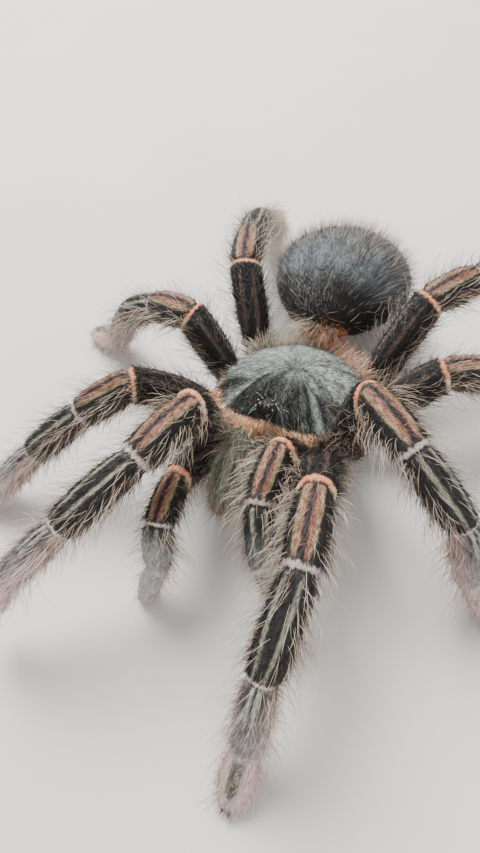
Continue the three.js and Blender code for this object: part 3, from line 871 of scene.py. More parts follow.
class Hair:
    """The hair layers of the whole coat, and the rules for where each grows."""

    CREAM = paint(240, 228, 206)
    TAN = paint(214, 186, 152)
    SALMON = paint(228, 180, 160)
    PINK = paint(230, 200, 194)
    ASH = paint(172, 168, 160)
    ORANGE = paint(214, 138, 86)
    WHITE = paint(246, 244, 238)
    FRONT = paint(246, 194, 152)
    SIDE = paint(236, 204, 184)
    REAR = paint(222, 150, 104)
    # Dark of the fringe at the shell's left front corner, where it is painted shade.
    DARK = paint(46, 38, 34)

    @staticmethod
    def pile_weight(spots: Spots) -> Array:
        """Short hair: everywhere, thinner under the limbs."""
        weight = growth("pile", spots.region)
        under = spots.of(*LIMB_REGIONS) * rising(np.abs(spots.turn), 120, 30)
        return weight * (1 - 0.45 * under)

    @staticmethod
    def comb_weight(spots: Spots) -> Array:
        """Middle hairs: fewer on the back of the limbs, where the stripes show."""
        weight = growth("comb", spots.region)
        bare = np.where(spots.of(Region.METATARSUS), 0.3, 0.1)
        shown = bare + (1 - bare) * rising(np.abs(spots.turn), 40, 30)
        return weight * np.where(spots.of(*LIMB_REGIONS), shown, 1)

    @staticmethod
    def bristle_weight(spots: Spots) -> Array:
        """Long hairs: thickest along the sides of the limbs."""
        weight = growth("bristle", spots.region)
        sides = 0.16 + 1.0 * band(np.abs(spots.turn), 88, 42, 40)
        return weight * np.where(spots.of(*LIMB_REGIONS), sides, 1)

    @staticmethod
    def fringe_weight(spots: Spots) -> Array:
        """Only along the edge of the shell."""
        front = falling(np.abs(spots.turn), 60, 12)
        return spots.of(Region.CARAPACE) * smooth_step((spots.out - 0.93 + 0.04 * front) / 0.03)

    @staticmethod
    def waist_weight(spots: Spots) -> Array:
        """Behind the shell and the hips, pointing back."""
        behind = rising(np.abs(spots.turn), 108, 20)
        shell = spots.of(Region.CARAPACE) * rising(spots.out, 0.9, 0.05)
        hips = spots.of(Region.COXAE) * rising(spots.near, -3.2 * MM, 1.6 * MM)
        return behind * (7 * shell + 2.6 * hips)

    @staticmethod
    def face_weight(spots: Spots) -> Array:
        """On the abdomen's face, standing out towards the shell."""
        low = 1 + falling(spots.out, 0.15, 0.3)
        return low * spots.of(Region.ABDOMEN) * falling(spots.along, 0.17, 0.08)

    @staticmethod
    def halo_weight(spots: Spots) -> Array:
        """Only on the abdomen, fewer on its dark face."""
        return spots.of(Region.ABDOMEN) * (0.16 + 0.84 * rising(spots.along, 0.36, 0.3))

    @staticmethod
    def own(spots: Spots, colours: Array, rng: np.random.Generator) -> Array:
        """The skin's own colour, a little lighter or darker."""
        return colours * rng.uniform(0.7, 1.45, len(colours))[:, None] + 0.004

    @classmethod
    def comb_tip(cls, spots: Spots, colours: Array, rng: np.random.Generator) -> Array:
        """The skin's colour faded towards ash, tan or pink."""
        n = len(colours)
        pick = rng.random(n)[:, None]
        pale = np.where(pick < 0.4, cls.TAN, np.where(pick < 0.75, cls.PINK, cls.ASH))
        feet = spots.of(*FEET)[:, None]
        pale = np.where(feet, np.where(pick < 0.7, cls.PINK, cls.CREAM), pale)
        strength = np.where(feet[:, 0], 1.0, 0.55)
        strength = np.where(spots.of(Region.FEMUR, Region.ABDOMEN), 0.5, strength)
        return blend(colours, pale, rng.uniform(0.1, 0.85, n) * strength)

    @classmethod
    def bristle_tip(cls, spots: Spots, colours: Array, rng: np.random.Generator) -> Array:
        """Cream, tan or pink, a few of them dark."""
        n = len(colours)
        pick = rng.random(n)[:, None]
        tint = np.where(pick < 0.55, cls.CREAM, np.where(pick < 0.8, cls.TAN, cls.SALMON))
        feet = spots.of(*FEET)[:, None]
        tint = np.where(feet & (pick > 0.35), cls.PINK, tint)
        tint = np.where(spots.of(Region.TUBERCLE)[:, None], cls.WHITE, tint)
        dim = np.where(spots.of(Region.FEMUR), 0.6, 1.0)
        return tint * (dim * rng.uniform(0.5, 1.0, n))[:, None]

    @classmethod
    def fringe_tip(cls, spots: Spots, colours: Array, rng: np.random.Generator) -> Array:
        """Orange-cream in front, pinkish cream at the sides, rust behind, and painted shade at the
        left front corner.
        """
        turn = np.abs(spots.turn)
        tint = blend(cls.FRONT, cls.SIDE, rising(turn, 50, 20))
        tint = blend(tint, cls.REAR, rising(turn, 115, 25))
        # Painted shade: the fringe goes dark at the shell's left front corner.
        tint = blend(tint, cls.DARK, 0.85 * Markings.dark_corner(spots.turn))
        return tint * rng.uniform(0.7, 1.1, len(turn))[:, None]

    @classmethod
    def waist_tip(cls, spots: Spots, colours: Array, rng: np.random.Generator) -> Array:
        """Rust and pinkish tan, with a cream patch on the right side."""
        n = len(colours)
        pick = rng.random(n)
        tint = np.where((pick < 0.5)[:, None], cls.ORANGE, cls.SALMON)
        patch = smooth_step((-spots.point[:, 0] / MM - 3) / 4) * ~spots.of(Region.COXAE)
        tint = np.where((rng.random(n) < 0.15 + 0.75 * patch)[:, None], cls.CREAM, tint)
        return tint * rng.uniform(0.65, 1.05, n)[:, None]

    @classmethod
    def face_tip(cls, spots: Spots, colours: Array, rng: np.random.Generator) -> Array:
        """Rust low down and by the waist, with cream on the right, dark above."""
        tint = cls.waist_tip(spots, colours, rng)
        above = smooth_step((spots.out - 0.02 + rng.uniform(-0.15, 0.15, len(tint))) / 0.3)
        return blend(tint, colours * 1.2, 0.8 * above)

    @classmethod
    def halo_tip(cls, spots: Spots, colours: Array, rng: np.random.Generator) -> Array:
        """Pinkish tan, with rust low at the sides."""
        n = len(colours)
        tint = blend(cls.TAN, cls.PINK, rng.uniform(0, 1, n))
        rusty = (spots.out < 0.1) & (rng.random(n) < 0.5)
        tint = np.where(rusty[:, None], cls.ORANGE, tint)
        return tint * rng.uniform(0.6, 1.05, n)[:, None]

    @classmethod
    def layers(cls) -> list[Layer]:
        """Every kind of hair, with its values in the order in which Layer names them."""
        return [
            Layer(
                "pile", 5.6, (1.0, 1.9), 0.2, (8, 24), 13, 0.5, 0.12, 0.0, 1,
                cls.pile_weight, cls.own, root_share=1.0, trim=0.5,
            ),
            Layer(
                "comb", 1.75, (1.8, 4.2), 0.13, (18, 46), 20, 0.7, 0.15, 0.05, 2,
                cls.comb_weight, cls.comb_tip, root_share=0.9, trim=0.5,
            ),
            Layer(
                "bristle", 1.05, (3.2, 8.6), 0.1, (36, 76), 22, 0.95, 0.05, 0.09, 4,
                cls.bristle_weight, cls.bristle_tip, root_share=0.5,
            ),
            Layer(
                "fringe", 16.0, (1.6, 3.2), 0.16, (0, 30), 16, 0.6, 0.1, 0.04, 2,
                cls.fringe_weight, cls.fringe_tip, root_share=0.15,
            ),
            Layer(
                "waist", 3.8, (3.4, 8.2), 0.13, (28, 84), 30, 0.3, 0.3, 0.07, 3,
                cls.waist_weight, cls.waist_tip, root_share=0.3,
            ),
            Layer(
                "face", 4.4, (3.6, 7.6), 0.12, (56, 90), 40, 0.3, 0.4, 0.08, 3,
                cls.face_weight, cls.face_tip, root_share=0.6,
            ),
            Layer(
                "halo", 2.2, (2.8, 5.8), 0.07, (42, 78), 16, 0.6, 0.3, 0.05, 2,
                cls.halo_weight, cls.halo_tip, root_share=1.0,
            ),
        ]


class Coat:
    """The hair on one part of the skin, as one mesh of many closed strands.

    PATCH is the size of one strand's place on the sheet, and SHEET_EDGE and SHEET_SPAN keep all
    of them within it. Hair that would pass PROUD above the solids is pressed down to a share
    of what it passes by.
    """

    MAP = "OFBake"
    PATCH = 0.003
    SHEET_EDGE = 0.02
    SHEET_SPAN = 0.955
    CORNERS = 3
    SUNK = 0.12 * MM
    LIFT_OFF_FLOOR = 0.06 * MM
    PROUD = 0.9 * MM
    PRESSED = 0.8
    RING_KEPT = 2.4 * MM
    RING_SPAN = 1.2 * MM
    SAG = np.array([0, 0, -0.25])
    TANGLE = 0.2
    ROOT_DARK = 0.8
    WAVES = 2.6
    WAVE_STARTS = 6.3
    TAPER = 0.55

    def __init__(self, name: str, skin: Skin, nodes: list[str], seed: int) -> None:
        """Keeps which nodes' skin this coat grows on."""
        self.name, self.skin, self.seed = name, skin, seed
        self.ranks = [skin.anatomy.nodes.index(n) for n in nodes]

    def build(self) -> bpy.types.Object:
        """Grows each layer and joins them into one piece."""
        rng = np.random.default_rng(self.seed)
        parts = [self.grow(layer, rng) for layer in Hair.layers()]
        columns = zip(*(p for p in parts if p is not None))
        points, colours, sheets, quads, tris = (list(column) for column in columns)
        first = np.cumsum([0] + [len(p) for p in points])
        quads, tris = ([rows + k for rows, k in zip(kind, first)] for kind in (quads, tris))
        quads, tris = np.concatenate(quads), np.concatenate(tris)
        mesh = joined_mesh(self.name, np.concatenate(points), quads, tris)
        store(mesh, "marking", np.concatenate(colours), "FLOAT_COLOR")
        corner = read(mesh.loops, "vertex_index", 1, np.int32)
        sheet = mesh.uv_layers.new(name=self.MAP)
        sheet.data.foreach_set("uv", np.concatenate(sheets)[corner].astype(np.float32).ravel())
        piece = linked(self.name, mesh)
        LOG.info("%s: %d triangles", self.name, 2 * len(quads) + len(tris))
        return piece

    def sample(self, layer: Layer, rng: np.random.Generator) -> Optional[Spots]:
        """Root places for a layer, thicker where its weight is higher."""
        spots, faces = self.skin.spots, self.skin.faces
        mine = faces[np.isin(spots.node[faces[:, 0]], self.ranks)]
        a, b, c = (spots.point[mine[:, k]] for k in range(3))
        area = np.linalg.norm(np.cross(b - a, c - a), axis=1) / 2 / MM**2
        middle = self.skin.anatomy.survey(Spots((a + b + c) / 3, spots.node[mine[:, 0]]))
        expected = area * layer.per_mm2 * np.maximum(layer.weight(middle), 0)
        total = int(expected.sum())
        if total < 1:
            return None
        pick = np.searchsorted(np.cumsum(expected), rng.random(total) * expected.sum())
        pick = np.clip(pick, 0, len(mine) - 1)
        u, v = rng.random((2, total))
        flip = u + v > 1
        u, v = np.where(flip, 1 - u, u), np.where(flip, 1 - v, v)
        mix = np.stack([1 - u - v, u, v], 1)[:, :, None]
        chosen = mine[pick]
        point, normal, lie = (
            (values[chosen] * mix).sum(1) for values in (spots.point, spots.normal, spots.lie)
        )
        made = Spots(point, spots.node[chosen[:, 0]], unit(normal), unit(lie))
        return self.skin.anatomy.survey(made)

    def grow(self, layer: Layer, rng: np.random.Generator) -> Optional[tuple]:
        """One layer's strands: points, colours, sheet places, quads and triangles."""
        spots = self.sample(layer, rng)
        if spots is None:
            return None
        n, normal = len(spots.point), spots.normal
        start, end, lie = self.directions(layer, spots, rng)
        ringed = spots.of(*Markings.RINGS) * falling(spots.far, self.RING_KEPT, self.RING_SPAN)
        share = growth("length", spots.region) * (1 - layer.trim * ringed)
        length = rng.uniform(*layer.length, n) * share * MM
        radius = layer.width / 2 * MM * rng.uniform(0.8, 1.15, n)
        colours = self.skin.markings.colours(spots)
        tip = layer.tip(spots, colours, rng)
        root = blend(tip, colours * self.ROOT_DARK, np.full(n, layer.root_share))
        rings = layer.rings
        ts = np.linspace(0, 1, rings + 1)
        path, heads = [spots.point - normal * self.SUNK], []
        for t in ts[:-1]:
            heads.append(unit(start * (1 - t * layer.bend) + end * t * layer.bend))
            path.append(path[-1] + heads[-1] * (length / rings)[:, None])
        if layer.curl:
            phase, sway = rng.uniform(0, self.WAVE_STARTS, (2, n))
            aside = np.cross(normal, start) * np.cos(sway)[:, None] + normal * np.sin(sway)[:, None]
            for j in range(1, rings + 1):
                wave = np.sin(self.WAVES * ts[j] + phase) - np.sin(phase)
                path[j] = path[j] + aside * (wave * ts[j] * layer.curl * length)[:, None]
        top = CAD_BOX[1][2] + self.PROUD
        for point in path:
            point[:, 2] = np.maximum(point[:, 2], self.LIFT_OFF_FLOOR)
            point[:, 2] -= self.PRESSED * np.maximum(point[:, 2] - top, 0)
        return self.strands(path, heads, normal + 0.4 * lie, radius, root, tip, spots.sheet)

    def directions(
        self, layer: Layer, spots: Spots, rng: np.random.Generator
    ) -> tuple[Array, Array, Array]:
        """The way in which each strand sets off and ends, and its lie on the skin."""
        n, normal = len(spots.point), spots.normal
        lie = unit(spots.lie - (spots.lie * normal).sum(1, keepdims=True) * normal)
        side = np.cross(normal, lie)
        yaw = np.radians(rng.normal(0, layer.stray, n))[:, None]
        lie = unit(lie * np.cos(yaw) + side * np.sin(yaw))
        lift = np.radians(rng.uniform(*layer.lift, n))[:, None]
        start = lie * np.cos(lift) + normal * np.sin(lift)
        tangle = rng.normal(0, self.TANGLE, (n, 3))
        return start, unit(lie + layer.hook * normal + tangle + self.SAG * layer.bend), lie

    def strands(
        self,
        path: list[Array],
        heads: list[Array],
        up: Array,
        radius: Array,
        root: Array,
        tip: Array,
        sheet: Array,
    ) -> tuple[Array, Array, Array, Array, Array]:
        """Closed, tapering three-sided strands along the given paths.

        Args:
            path: the strands' places at each ring and at the tip.
            heads: the way that they go on from each ring.
            up: a direction across each strand.
            radius: how thick each is at its root.
            root: the colour of each root.
            tip: the colour of each tip.
            sheet: the place of each root on the skin's sheet.

        Returns:
            Points, colours, sheet places, four-sided and three-sided faces.
        """
        n, rings = len(radius), len(path) - 1
        per = self.CORNERS * rings + 1
        co, rgb, uv = np.zeros((n, per, 3)), np.zeros((n, per, 3)), np.zeros((n, per, 2))
        places = self.SHEET_EDGE + self.SHEET_SPAN * np.clip(sheet, 0, 1)
        for j in range(rings):
            t = j / rings
            first = unit(np.cross(heads[j], up))
            second = np.cross(heads[j], first)
            size = (radius * (1 - self.TAPER * t**1.5))[:, None]
            for k in range(self.CORNERS):
                angle = 2 * math.pi * k / self.CORNERS
                at = j * self.CORNERS + k
                co[:, at] = path[j] + size * (first * math.cos(angle) + second * math.sin(angle))
                rgb[:, at] = root + (tip - root) * t
                # The root's middle corner is lower, so that its cap has a face on the sheet.
                shift = -0.2 if at == 1 else 0.0
                uv[:, at] = places + self.PATCH * np.array([k / 2, t + shift])
        co[:, -1], rgb[:, -1] = path[-1], tip
        uv[:, -1] = places + self.PATCH * np.array([0.5, 1.0])
        turns = [(k, (k + 1) % self.CORNERS) for k in range(self.CORNERS)]
        steps = range(0, (rings - 1) * self.CORNERS, self.CORNERS)
        quads = [
            [j + k, j + after, j + self.CORNERS + after, j + self.CORNERS + k]
            for j in steps
            for k, after in turns
        ]
        last = (rings - 1) * self.CORNERS
        tris = [[0, 2, 1]] + [[last + k, last + after, per - 1] for k, after in turns]
        offset = (np.arange(n) * per)[:, None, None]
        four = (np.array(quads, np.int64).reshape(1, -1, 4) + offset).reshape(-1, 4)
        three = (np.array(tris, np.int64)[None] + offset).reshape(-1, 3)
        return co.reshape(-1, 3), rgb.reshape(-1, 3), uv.reshape(-1, 2), four, three


def joined_mesh(name: str, points: Array, quads: Array, tris: Array) -> bpy.types.Mesh:
    """A mesh from arrays of points, four-sided faces and three-sided faces."""
    mesh = bpy.data.meshes.new(name)
    mesh.vertices.add(len(points))
    mesh.vertices.foreach_set("co", points.astype(np.float32).ravel())
    corner = np.concatenate([quads.ravel(), tris.ravel()]).astype(np.int32)
    mesh.loops.add(len(corner))
    mesh.loops.foreach_set("vertex_index", corner)
    start = np.concatenate([np.arange(len(quads)) * 4, 4 * len(quads) + np.arange(len(tris)) * 3])
    mesh.polygons.add(len(start))
    mesh.polygons.foreach_set("loop_start", start.astype(np.int32))
    mesh.update(calc_edges=True)
    mesh.polygons.foreach_set("use_smooth", np.ones(len(start), bool))
    return mesh


class Wire:
    """A socket of a material's nodes that takes part in arithmetic."""

    def __init__(self, board: "Board", socket: bpy.types.NodeSocket) -> None:
        """Keeps the socket and the board that it is on."""
        self.board, self.socket = board, socket

    def math(self, operation: str, *values: object) -> "Wire":
        """A Math node on the given values."""
        return self.board.node("ShaderNodeMath", {"operation": operation}, dict(enumerate(values)))

    def __add__(self, other: object) -> "Wire":
        """The sum."""
        return self.math("ADD", self, other)

    def __mul__(self, other: object) -> "Wire":
        """The product."""
        return self.math("MULTIPLY", self, other)


class Board:
    """The nodes of one material."""

    def __init__(self, name: str) -> None:
        """Starts a material with an empty board."""
        self.material = bpy.data.materials.new(name)
        self.material.use_nodes = True
        self.tree = self.material.node_tree
        self.tree.nodes.clear()

    def node(self, kind: str, settings: dict, inputs: dict, output: object = 0) -> Wire:
        """Adds a node.

        Args:
            kind: the node's type.
            settings: its own settings, such as a Math node's operation.
            inputs: values or wires for its sockets, by name or number.
            output: the name or number of the socket that is returned.

        Returns:
            The chosen output as a wire.
        """
        node = self.tree.nodes.new(kind)
        for name, value in settings.items():
            setattr(node, name, value)
        for name, value in inputs.items():
            if isinstance(value, Wire):
                self.tree.links.new(value.socket, node.inputs[name])
            else:
                node.inputs[name].default_value = value
        return Wire(self, node.outputs[output])

    def scaled(self, vector: Wire, factor: object) -> Wire:
        """A vector or a colour times a factor."""
        inputs = {0: vector, "Scale": factor}
        return self.node("ShaderNodeVectorMath", {"operation": "SCALE"}, inputs)

    def place(self) -> Wire:
        """Object coordinates in millimetres."""
        return self.scaled(self.node("ShaderNodeTexCoord", {}, {}, "Object"), 1 / MM)

    def noise(self, where: Wire, scale: float, detail: float = 2.0, rough: float = 0.55) -> Wire:
        """Noise of about 0 to 1 with scale cells to a unit of the coordinates."""
        inputs = {"Vector": where, "Scale": scale, "Detail": detail, "Roughness": rough}
        return self.node("ShaderNodeTexNoise", {}, inputs, "Fac")

    def attribute(self, name: str, output: str) -> Wire:
        """A value kept on the mesh."""
        return self.node("ShaderNodeAttribute", {"attribute_name": name}, {}, output)

    def mix(self, first: object, second: object, share: object) -> Wire:
        """A colour between two."""
        inputs = {"Factor": share, 6: first, 7: second}
        return self.node("ShaderNodeMix", {"data_type": "RGBA"}, inputs, 2)

    def bump(self, height: Wire, strength: float, distance: float) -> Wire:
        """A normal from a height."""
        inputs = {"Height": height, "Strength": strength, "Distance": distance}
        return self.node("ShaderNodeBump", {}, inputs)

    def finish(self, tone: Wire, roughness: object, **inputs: object) -> bpy.types.Material:
        """Puts the surface together and returns the material.

        Args:
            tone: the base colour.
            roughness: the roughness.
            inputs: the surface's other sockets, with _ in place of spaces.

        Returns:
            The material.
        """
        inputs = {name.replace("_", " "): value for name, value in inputs.items()}
        inputs.update({"Base Color": tone, "Roughness": roughness})
        surface = self.node("ShaderNodeBsdfPrincipled", {}, inputs)
        output = self.tree.nodes.new("ShaderNodeOutputMaterial")
        self.tree.links.new(surface.socket, output.inputs["Surface"])
        return self.material


@dataclass(frozen=True)
class HideFinish:
    """The skin under the coat: velvet with fine lengthwise streaks."""

    name: str = "tarantula_hide"
    roughness: float = 0.62
    streaks: float = 5.5
    specks: float = 3.2
    relief: float = 0.55
    depth: float = 0.25 * MM
    shine: float = 0.35

    def build(self) -> bpy.types.Material:
        """Makes the material."""
        board = Board(self.name)
        colour, grain = board.attribute("marking", "Color"), board.attribute("grain", "Vector")
        streak = board.noise(grain, self.streaks, 4.0, 0.6)
        fine = board.noise(board.place(), self.specks)
        tone = board.scaled(colour, (streak * 1.1 + fine * 0.5) + 0.12)
        rough = streak * 0.3 + (self.roughness - 0.15)
        normal = board.bump(streak + fine * 0.5, self.relief, self.depth)
        return board.finish(tone, rough, Normal=normal, Specular_IOR_Level=self.shine)


@dataclass(frozen=True)
class HairFinish:
    """The strands of the coat."""

    name: str = "tarantula_hair"
    roughness: float = 0.42
    clouds: float = 0.9
    specks: float = 7.0
    relief: float = 0.25
    depth: float = 0.03 * MM
    shine: float = 0.45

    def build(self) -> bpy.types.Material:
        """Makes the material."""
        board = Board(self.name)
        cloud = board.noise(board.place(), self.clouds, 3.0)
        fine = board.noise(board.place(), self.specks)
        tone = board.scaled(board.attribute("marking", "Color"), cloud * 0.5 + 0.75)
        rough = fine * 0.2 + (self.roughness - 0.1)
        normal = board.bump(fine, self.relief, self.depth)
        return board.finish(tone, rough, Normal=normal, Specular_IOR_Level=self.shine)


@dataclass(frozen=True)
class GlossFinish:
    """A hard, shiny finish for eyes, fangs and claws."""

    name: str
    deep: tuple[float, float, float]
    pale: tuple[float, float, float]
    roughness: float
    grain: float
    relief: float
    coat: float
    depth: float = 0.02 * MM
    coat_roughness: float = 0.06

    def build(self) -> bpy.types.Material:
        """Makes the material."""
        board = Board(self.name)
        place = board.place()
        cloud = board.noise(place, self.grain, 3.0)
        fine = board.noise(place, self.grain * 6)
        tone = board.mix((*paint(*self.deep), 1.0), (*paint(*self.pale), 1.0), cloud)
        rough = fine * 0.12 + self.roughness
        normal = board.bump(fine + cloud, self.relief, self.depth)
        shell = {"Coat_Weight": self.coat, "Coat_Roughness": self.coat_roughness}
        return board.finish(tone, rough, Normal=normal, **shell)


@dataclass(frozen=True)
class FloorFinish:
    """A plain pale matt floor."""

    name: str = "studio_floor"
    deep: tuple[float, float, float] = (206, 202, 196)
    pale: tuple[float, float, float] = (214, 211, 206)
    clouds: float = 0.02
    roughness: float = 0.85

    def build(self) -> bpy.types.Material:
        """Makes the material."""
        board = Board(self.name)
        cloud = board.noise(board.place(), self.clouds)
        tone = board.mix((*paint(*self.deep), 1.0), (*paint(*self.pale), 1.0), cloud)
        return board.finish(tone, self.roughness)


def linked(name: str, data: Optional[bpy.types.ID]) -> bpy.types.Object:
    """A new object in the scene."""
    piece = bpy.data.objects.new(name, data)
    bpy.context.scene.collection.objects.link(piece)
    return piece


def dressed(name: str, bm: bmesh.types.BMesh, smooth: bool = True) -> bpy.types.Object:
    """Turns a bmesh into a linked object that faces outwards."""
    bmesh.ops.remove_doubles(bm, verts=bm.verts, dist=1e-7)
    bmesh.ops.recalc_face_normals(bm, faces=bm.faces)
    mesh = bpy.data.meshes.new(name)
    bm.to_mesh(mesh)
    bm.free()
    mesh.polygons.foreach_set("use_smooth", np.full(len(mesh.polygons), smooth))
    return linked(name, mesh)


@dataclass(frozen=True)
class Eyes:
    """The eight eyes on their mound. Places are in millimetres from the mound's middle."""

    mound: tuple[float, float, float] = (0.0, -0.395, 0.215)  # in lengths of the carapace
    rows: tuple[tuple[tuple[float, float, float], float], ...] = (
        ((0.9, -0.9, 1.15), 0.62),
        ((1.9, -1.05, 0.45), 0.5),
        ((2.05, 0.55, 0.6), 0.5),
        ((1.15, 0.75, 1.3), 0.36),
    )

    def build(self, anatomy: Anatomy) -> bpy.types.Object:
        """Makes the eyes as one piece of eight lenses."""
        bm = bmesh.new()
        mound = np.array(self.mound) * CARAPACE_LENGTH
        for side in SIDES.values():
            for (x, y, z), radius in self.rows:
                local = mound + np.array([side * x, y, z]) * MM
                place = Matrix.Translation(Vector(anatomy.prosoma + anatomy.from_prosoma(local)))
                bmesh.ops.create_icosphere(bm, subdivisions=4, radius=radius * MM, matrix=place)
        return dressed("tarantula_eyes", bm)


@dataclass(frozen=True)
class Hook:
    """A curved, tapering, closed hook.

    root is its radius at the thick end, length is measured along the bend, and bend is how far
    it turns in all, in radians.
    """

    root: float
    length: float
    bend: float
    rings: int
    sides: int
    taper: float = 0.62
    tip: float = 0.3

    def add(self, bm: bmesh.types.BMesh, start: Vector, way: Vector, axis: Vector) -> None:
        """Adds the hook to a mesh.

        Args:
            bm: the mesh that takes it.
            start: the middle of its thick end.
            way: the direction in which it sets off.
            axis: the line that it bends round.
        """
        place = Matrix.Translation(start) @ way.to_track_quat("Z", "Y").to_matrix().to_4x4()
        made = bmesh.ops.create_circle(
            bm, cap_ends=True, segments=self.sides, radius=self.root, matrix=place
        )
        face, centre, way = made["verts"][0].link_faces[0], start.copy(), way.copy()
        turn = Matrix.Rotation(self.bend / self.rings, 3, axis)
        for k in range(self.rings):
            face = bmesh.ops.extrude_discrete_faces(bm, faces=[face])["faces"][0]
            left = (1 - (k + 1) / self.rings) / (1 - k / self.rings)
            share = left**self.taper if k < self.rings - 1 else self.tip
            step = way * (self.length / self.rings)
            bmesh.ops.translate(bm, verts=face.verts, vec=step)
            centre += step
            bmesh.ops.rotate(bm, verts=face.verts, cent=centre, matrix=turn)
            way.rotate(turn)
            space = Matrix.Translation(-centre)
            bmesh.ops.scale(bm, verts=face.verts, vec=(share,) * 3, space=space)


@dataclass(frozen=True)
class Fangs:
    """The two folded fangs: curved, tapering and closed at both ends."""

    root: float = 1.55 * MM
    bend: float = math.radians(64)
    longer: float = 1.12  # than its box, because it is curved
    rings: int = 18
    sides: int = 20

    def build(self) -> bpy.types.Object:
        """Makes both fangs as one piece, each inside its node's box."""
        bm = bmesh.new()
        way = Vector((0, math.cos(self.bend / 2), -math.sin(self.bend / 2)))
        for side in SIDES:
            low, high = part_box(f"{side}_fang")
            start = Vector(((low.x + high.x) / 2, low.y + self.root, high.z - self.root))
            length = (high.y - low.y - self.root) * self.longer
            hook = Hook(self.root, length, self.bend, self.rings, self.sides)
            hook.add(bm, start, way, Vector((1, 0, 0)))
        return dressed("tarantula_fangs", bm)


@dataclass(frozen=True)
class Claws:
    """Two small dark claws at the end of each foot, and one on each palp."""

    hook: Hook = Hook(0.22 * MM, 1.7 * MM, -math.radians(85), 8, 8)
    apart: float = 0.55 * MM
    inside: float = 1.5 * MM
    lowest: float = 1.7 * MM
    flatten: tuple[float, float, float] = (1, 1, 0.4)
    up: float = 0.3
    splay: float = 0.2

    def build(self, anatomy: Anatomy) -> bpy.types.Object:
        """Makes all of them as one piece, each set into the end of its foot."""
        bm = bmesh.new()
        for name, limb in anatomy.limbs.items():
            foot = limb[-1]
            for side in (0,) if "palp" in name else (-1, 1):
                start = foot.end - foot.along * self.inside + foot.across * side * self.apart
                start[2] = max(start[2], self.lowest)
                level = foot.along * self.flatten
                way = unit(level + self.up * foot.back + self.splay * side * foot.across)
                self.hook.add(bm, Vector(start), Vector(way), Vector(foot.across))
        return dressed("tarantula_claws", bm)


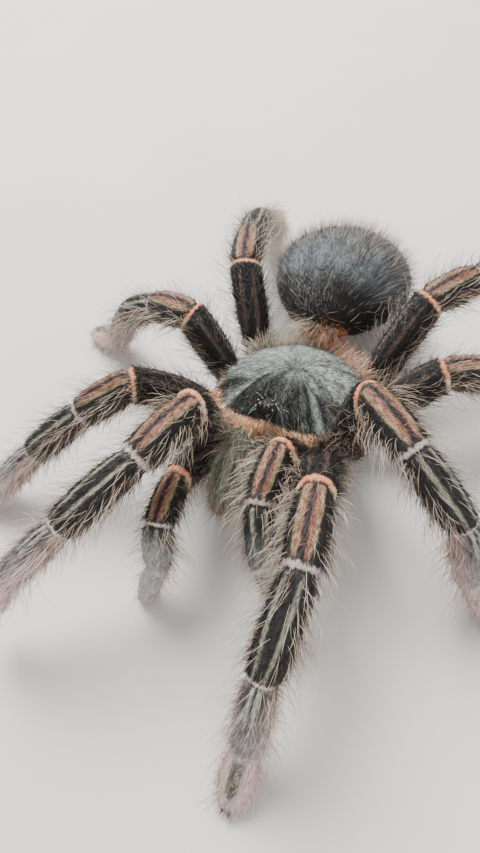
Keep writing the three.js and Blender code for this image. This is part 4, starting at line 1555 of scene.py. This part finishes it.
@dataclass(frozen=True)
class Studio:
    """The floor, the lights and the camera. Each light has a name, place, size and power."""

    azimuth: float = math.radians(35.1)
    elevation: float = math.radians(53.6)
    roll: float = math.radians(-11.6)
    eye: tuple[float, float, float] = (40.14, -79.90, 111.41)  # from the shell's middle, in mm
    focal_pixels: float = 616.9
    picture_height: float = 853
    clip: tuple[float, float] = (0.005, 20)
    floor_size: float = 3.0
    lamps: tuple[tuple[str, tuple[float, float, float], float, float], ...] = (
        ("key", (-0.3, 0.33, 0.65), 0.4, 16.0),
        ("fill", (0.45, -0.5, 0.45), 0.6, 3.5),
    )
    sky: tuple[float, float, float, float] = (0.95, 0.97, 1.0, 1)
    sky_strength: float = 0.7

    def build(self, anatomy: Anatomy) -> None:
        """Makes everything that isn't part of the animal."""
        self.floor()
        self.lights()
        self.camera(Vector(anatomy.prosoma))

    def floor(self) -> None:
        """A wide plain floor at the feet's level."""
        bm = bmesh.new()
        bmesh.ops.create_grid(bm, x_segments=1, y_segments=1, size=self.floor_size)
        floor = dressed("studio_floor", bm, False)
        floor.data.materials.append(FloorFinish().build())

    def lights(self) -> None:
        """A soft key from above and behind, a fill from the front, and an even sky."""
        for name, place, size, power in self.lamps:
            light = bpy.data.lights.new(name, "AREA")
            light.size, light.energy = size, power
            lamp = linked(name, light)
            lamp.location = place
            lamp.rotation_euler = (-Vector(place)).to_track_quat("-Z", "Y").to_euler()
        world = bpy.data.worlds.new("studio_sky")
        bpy.context.scene.world = world
        world.use_nodes = True
        sky = world.node_tree.nodes["Background"]
        sky.inputs["Color"].default_value = self.sky
        sky.inputs["Strength"].default_value = self.sky_strength

    def camera(self, middle: Vector) -> None:
        """A camera above and in front of the animal, rolled a little."""
        data = bpy.data.cameras.new("camera")
        data.sensor_width = 36
        data.lens = self.focal_pixels / self.picture_height * data.sensor_width
        data.clip_start, data.clip_end = self.clip
        camera = linked("camera", data)
        a, e = self.azimuth, self.elevation
        back = Vector((math.sin(a) * math.cos(e), -math.cos(a) * math.cos(e), math.sin(e)))
        right = Vector((0, 0, 1)).cross(back).normalized()
        up = back.cross(right)
        x = right * math.cos(self.roll) + up * math.sin(self.roll)
        y = up * math.cos(self.roll) - right * math.sin(self.roll)
        turn = Matrix((x, y, back)).transposed()
        camera.matrix_world = Matrix.Translation(middle + Vector(self.eye) * MM) @ turn.to_4x4()
        bpy.context.scene.camera = camera


EYE_GLOSS = GlossFinish("eye_gloss", (5, 4, 4), (26, 17, 12), 0.03, 1.2, 0.05, 1.0)
FANG_GLOSS = GlossFinish("fang_gloss", (12, 8, 7), (44, 20, 14), 0.16, 0.5, 0.2, 0.6)
CLAW_GLOSS = GlossFinish("claw_gloss", (14, 10, 8), (52, 36, 26), 0.24, 1.4, 0.2, 0.4)
FIRST_SEED = 100
# The slot and the nodes of each coat that isn't a limb's.
COATS = {
    "carapace_coat": ("carapace", ["carapace", "eye_tubercle"]),
    "abdomen_coat": ("abdomen", ["abdomen", "left_spinneret", "right_spinneret"]),
    "chelicera_coat": ("chelicera", ["left_chelicera", "right_chelicera"]),
    "underside_coat": ("underside", ["sternum", "left_coxae", "right_coxae"]),
}


def main() -> None:
    """Builds the animal and its studio."""
    logging.basicConfig(level=logging.INFO, format="%(name)s: %(message)s")
    anatomy, markings = Anatomy(), Markings()
    skin = Skin(anatomy, markings)
    piece = skin.build()
    piece.data.materials.append(HideFinish().build())
    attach(piece, BODY)
    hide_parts(*anatomy.nodes)
    hair = HairFinish().build()
    jobs = dict(COATS)
    for name, segments in anatomy.limbs.items():
        jobs[f"{name}_coat"] = ("limb", [s.node for s in segments])
    for seed, (name, (slot, nodes)) in enumerate(jobs.items()):
        coat = Coat(name, skin, nodes, FIRST_SEED + seed).build()
        coat.data.materials.append(hair)
        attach(coat, BODY)
    eyes = Eyes().build(anatomy)
    eyes.data.materials.append(EYE_GLOSS.build())
    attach(eyes, BODY)
    fangs = Fangs().build()
    fangs.data.materials.append(FANG_GLOSS.build())
    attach(fangs, BODY)
    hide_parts("left_fang", "right_fang")
    claws = Claws().build(anatomy)
    claws.data.materials.append(CLAW_GLOSS.build())
    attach(claws, BODY)
    Studio().build(anatomy)


if __name__ == "__main__":
    main()
